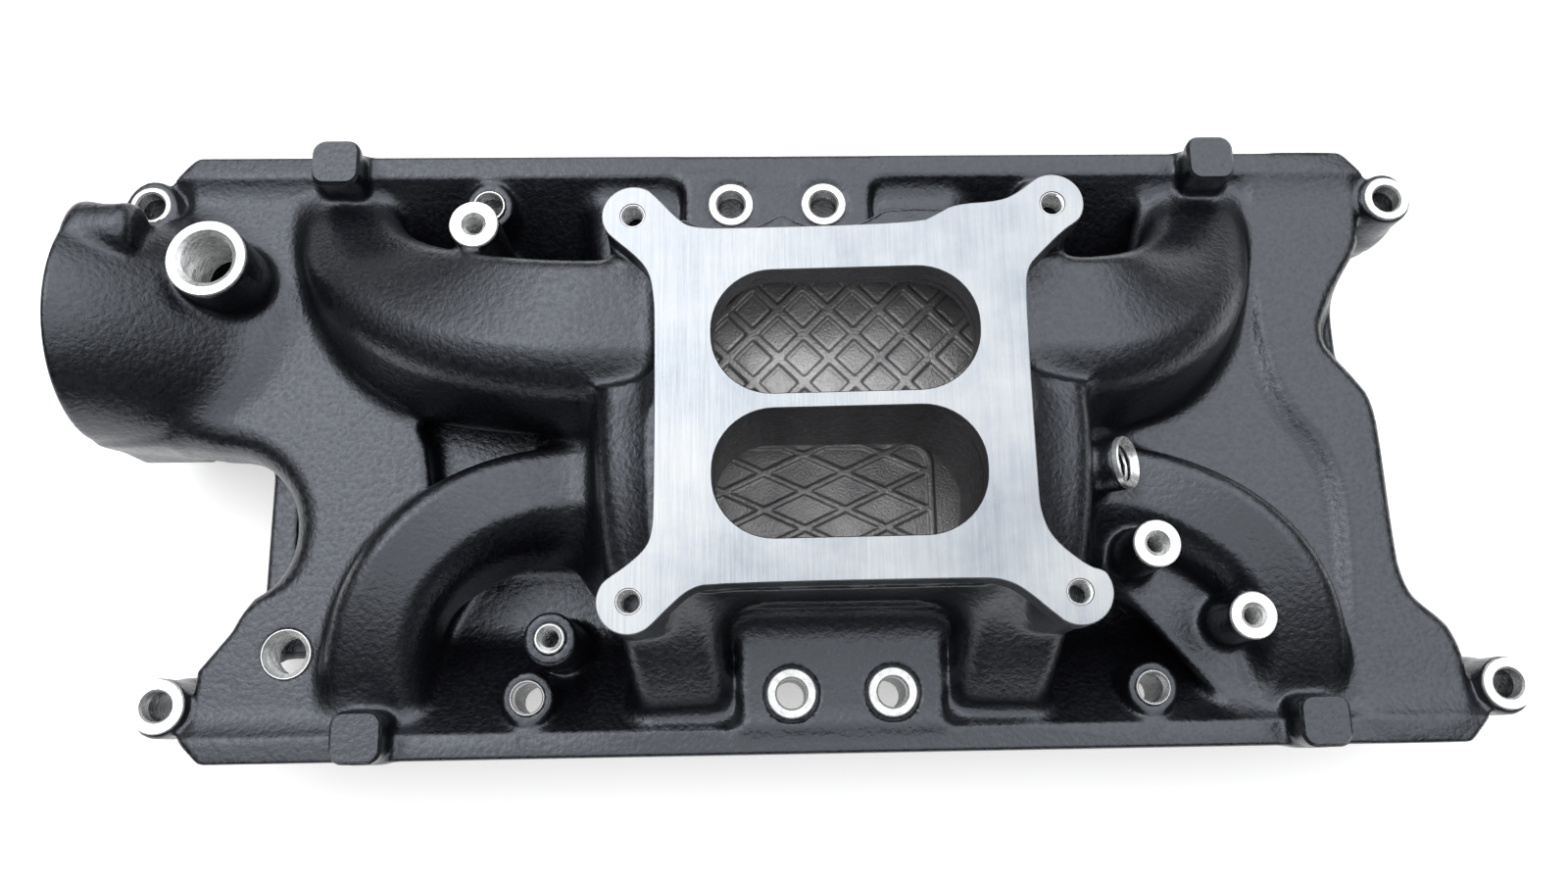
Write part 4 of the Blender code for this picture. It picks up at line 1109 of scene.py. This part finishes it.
def lower_border(x, y):
    """Distance to the lower floor's rounded border, below zero on its ridged side."""
    return rounded(x - 50.5, y - 2.5, 8.0)


def plenum_floors():
    ridged_floor("upper_floor_ridges", "plenum_upper_floor", ((-45.6, 4.8), (66.6, 61.0)), (10.0, 45.2),
                 math.radians(45), 13.1, 2.7, 1.3)
    ridged_floor("lower_floor_ridges", "plenum_lower_floor", ((-70.0, -40.0), (82.0, 20.0)), (17.1, -8.6),
                 math.radians(65.1), 13.15, 1.9, 0.9, lower_border)


# ---------------------------------------------------------------- materials


def coloured(tree, value, stops):
    """Colour ramp of a node tree, driven by a value."""
    made = tree.nodes.new("ShaderNodeValToRGB")
    ramp = made.color_ramp
    while len(ramp.elements) < len(stops):
        ramp.elements.new(0.5)
    for element, (place, colour) in zip(ramp.elements, stops):
        element.position = place
        element.color = (*colour, 1.0)
    tree.links.new(value, made.inputs["Fac"])
    return made.outputs["Color"]


class Nodes:
    """Short way to write a material's node tree."""

    def __init__(self, name):
        self.material = bpy.data.materials.new(name)
        self.material.use_nodes = True
        self.tree = self.material.node_tree
        self.shader = self.tree.nodes["Principled BSDF"]
        self.place = self.node("ShaderNodeTexCoord").outputs["Object"]

    def node(self, kind, **values):
        made = self.tree.nodes.new(kind)
        for key, value in values.items():
            setattr(made, key, value)
        return made

    def link(self, source, target):
        self.tree.links.new(source, target)

    def stretched(self, scale):
        mapping = self.node("ShaderNodeMapping")
        mapping.inputs["Scale"].default_value = scale
        self.link(self.place, mapping.inputs["Vector"])
        return mapping.outputs["Vector"]

    def noise(self, scale, detail=4.0, roughness=0.5, place=None):
        made = self.node("ShaderNodeTexNoise")
        made.inputs["Scale"].default_value = scale
        made.inputs["Detail"].default_value = detail
        made.inputs["Roughness"].default_value = roughness
        self.link(place or self.place, made.inputs["Vector"])
        return made.outputs["Fac"]

    def span(self, value, low, high, to_low, to_high):
        made = self.node("ShaderNodeMapRange")
        for key, number in (("From Min", low), ("From Max", high), ("To Min", to_low), ("To Max", to_high)):
            made.inputs[key].default_value = number
        self.link(value, made.inputs["Value"])
        return made.outputs["Result"]

    def bump(self, height, strength, distance, before=None):
        made = self.node("ShaderNodeBump")
        made.inputs["Strength"].default_value = strength
        made.inputs["Distance"].default_value = distance
        self.link(height, made.inputs["Height"])
        if before:
            self.link(before, made.inputs["Normal"])
        return made.outputs["Normal"]

    def ramp(self, value, stops):
        return coloured(self.tree, value, stops)


def coated_material():
    """Satin black powder coat over a sand-cast surface."""
    nodes = Nodes(COAT)
    patches = nodes.noise(28.0, 3.0)
    colour = nodes.ramp(patches, ((0.3, (0.0016, 0.0016, 0.003)), (0.7, (0.003, 0.003, 0.005))))
    nodes.link(colour, nodes.shader.inputs["Base Color"])
    grain = nodes.noise(560.0, 2.0)
    nodes.link(nodes.span(grain, 0.3, 0.7, 0.27, 0.41), nodes.shader.inputs["Roughness"])
    fine = nodes.bump(grain, 0.7, 0.00035)
    sand = nodes.bump(nodes.noise(190.0, 3.0), 0.35, 0.0005, fine)
    nodes.link(sand, nodes.shader.inputs["Normal"])
    nodes.shader.inputs["Specular IOR Level"].default_value = 0.88
    nodes.shader.inputs["Specular Tint"].default_value = (0.86, 0.91, 1.0, 1.0)
    return nodes.material


def floor_material():
    """Thin dull coat on the plenum's cast floors."""
    nodes = Nodes(FLOOR)
    patches = nodes.noise(60.0, 4.0)
    colour = nodes.ramp(patches, ((0.3, (0.25, 0.245, 0.25)), (0.7, (0.46, 0.445, 0.44))))
    nodes.link(colour, nodes.shader.inputs["Base Color"])
    nodes.shader.inputs["Metallic"].default_value = 0.6
    grain = nodes.noise(1100.0, 3.0)
    nodes.link(nodes.span(grain, 0.3, 0.7, 0.36, 0.52), nodes.shader.inputs["Roughness"])
    nodes.link(nodes.bump(grain, 0.6, 0.0004), nodes.shader.inputs["Normal"])
    return nodes.material


def machined_material():
    """Bare aluminium milled in straight strokes, with shallow scratches and stains."""
    nodes = Nodes(MILLED)
    strokes = nodes.noise(60.0, 5.0, 0.65, nodes.stretched((16.0, 0.6, 3.0)))
    stains = nodes.noise(22.0, 5.0, 0.6)
    mixed_marks = nodes.node("ShaderNodeMath", operation="ADD")
    nodes.link(nodes.span(strokes, 0.3, 0.7, 0.15, 0.35), mixed_marks.inputs[0])
    nodes.link(nodes.span(stains, 0.3, 0.7, 0.0, 0.55), mixed_marks.inputs[1])
    colour = nodes.ramp(mixed_marks.outputs["Value"],
                        ((0.15, (0.21, 0.23, 0.26)), (0.5, (0.31, 0.325, 0.345)),
                         (0.85, (0.42, 0.425, 0.425))))
    nodes.link(colour, nodes.shader.inputs["Base Color"])
    nodes.shader.inputs["Metallic"].default_value = 1.0
    nodes.link(nodes.span(stains, 0.3, 0.7, 0.26, 0.42), nodes.shader.inputs["Roughness"])
    nodes.link(nodes.bump(strokes, 0.3, 0.0003), nodes.shader.inputs["Normal"])
    return nodes.material


def seat_material():
    """Bare aluminium turned bright on bolt seats and threads."""
    nodes = Nodes(SEAT)
    marks = nodes.noise(500.0, 4.0)
    colour = nodes.ramp(marks, ((0.3, (0.60, 0.605, 0.61)), (0.7, (0.78, 0.78, 0.77))))
    nodes.link(colour, nodes.shader.inputs["Base Color"])
    nodes.shader.inputs["Metallic"].default_value = 0.75
    nodes.link(nodes.span(marks, 0.3, 0.7, 0.2, 0.34), nodes.shader.inputs["Roughness"])
    nodes.link(nodes.bump(marks, 0.4, 0.0002), nodes.shader.inputs["Normal"])
    return nodes.material


# ---------------------------------------------------------------- stage, light and camera


CAMERA_FROM_PAD = (-32.9, -111.9, 402.3)
CAMERA_TURN = (13.54, -1.69, -1.06)
LENS = 29.24


def facing(tree, direction, stops):
    """Grey level by how far a direction of view turns away from the given one."""
    place = tree.nodes.new("ShaderNodeTexCoord")
    towards = tree.nodes.new("ShaderNodeVectorMath")
    towards.operation = "DOT_PRODUCT"
    towards.inputs[1].default_value = Vector(direction).normalized()
    tree.links.new(place.outputs["Generated"], towards.inputs[0])
    greys = [(place, (level * 0.97, level * 0.985, level)) for place, level in stops]
    return coloured(tree, towards.outputs["Value"], greys)


def sky():
    """Soft white room, brightest high on the passenger side, with a shaded patch overhead."""
    world = bpy.data.worlds.new("studio")
    bpy.context.scene.world = world
    world.use_nodes = True
    tree = world.node_tree
    background = tree.nodes["Background"]
    room = facing(tree, (0.03, 0.25, 0.95),
                  ((0.0, 0.03), (0.35, 0.07), (0.56, 0.25), (0.74, 1.7), (0.86, 2.7), (1.0, 2.7)))
    shade = facing(tree, (0.0, -0.05, 1.0), ((0.0, 1.0), (0.93, 1.0), (0.985, 0.55), (1.0, 0.4)))
    tree.links.new(room, background.inputs["Color"])
    tree.links.new(shade, background.inputs["Strength"])


def studio():
    floor = new_object("floor", [(-3000, -3000, -0.5), (3000, -3000, -0.5), (3000, 3000, -0.5),
                                 (-3000, 3000, -0.5)], [(0, 1, 2, 3)])
    nodes = Nodes("pale_floor")
    nodes.shader.inputs["Base Color"].default_value = (0.86, 0.855, 0.85, 1.0)
    nodes.shader.inputs["Roughness"].default_value = 0.7
    nodes.shader.inputs["Emission Color"].default_value = (1.0, 0.99, 0.98, 1.0)
    nodes.shader.inputs["Emission Strength"].default_value = 0.45
    floor.data.materials.append(nodes.material)
    sky()
    for name, place, size, power in (("window", (0.2, -2.1, 1.0), (2.6, 0.45), 0.6),
                                     ("top", (-0.9, 0.6, 2.2), (1.2, 0.8), 6.0)):
        light = bpy.data.lights.new(name, "AREA")
        light.shape = "RECTANGLE"
        light.size, light.size_y = size
        light.energy = power
        lamp = bpy.data.objects.new(name, light)
        bpy.context.scene.collection.objects.link(lamp)
        lamp.location = place
        aim = Vector((0, 0, 0.06)) - Vector(place)
        lamp.rotation_euler = aim.to_track_quat("-Z", "Y").to_euler()
    bpy.context.scene.view_settings.view_transform = "Standard"
    bpy.context.scene.view_settings.look = "None"


def camera():
    data = bpy.data.cameras.new("camera")
    data.lens = LENS
    data.sensor_width = 36.0
    data.clip_start = 0.01
    item = bpy.data.objects.new("camera", data)
    bpy.context.scene.collection.objects.link(item)
    tilt, yaw, roll = (math.radians(angle) for angle in CAMERA_TURN)
    turn = Matrix.Rotation(yaw, 4, "Y") @ Matrix.Rotation(tilt, 4, "X") @ Matrix.Rotation(roll, 4, "Z")
    place = Vector(PAD * MM) + Vector(CAMERA_FROM_PAD) * MM
    item.matrix_world = Matrix.Translation(place) @ turn
    bpy.context.scene.camera = item


def keep_hidden_sections(pieces):
    """Hides the sections whose surface lies wholly inside the casting and got no patch of their own; each
    is listed with the neighbour whose patch covers it.
    """
    for node, stand_in in (("plenum_divider", "plenum_well"), ("exhaust_crossover", "valley_floor"),
                           ("temperature_sender_port", "front_water_crossover")):
        if node not in pieces:
            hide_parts(node)


coated_material()
machined_material()
floor_material()
seat_material()
casting = cast_everything()
patches = cast_pieces(casting)
keep_hidden_sections(patches)
carburetor_flange()
post_tops()
stud_threads()
bolt_rings()
stud_rings()
port_rings()
plenum_floors()
studio()
camera()
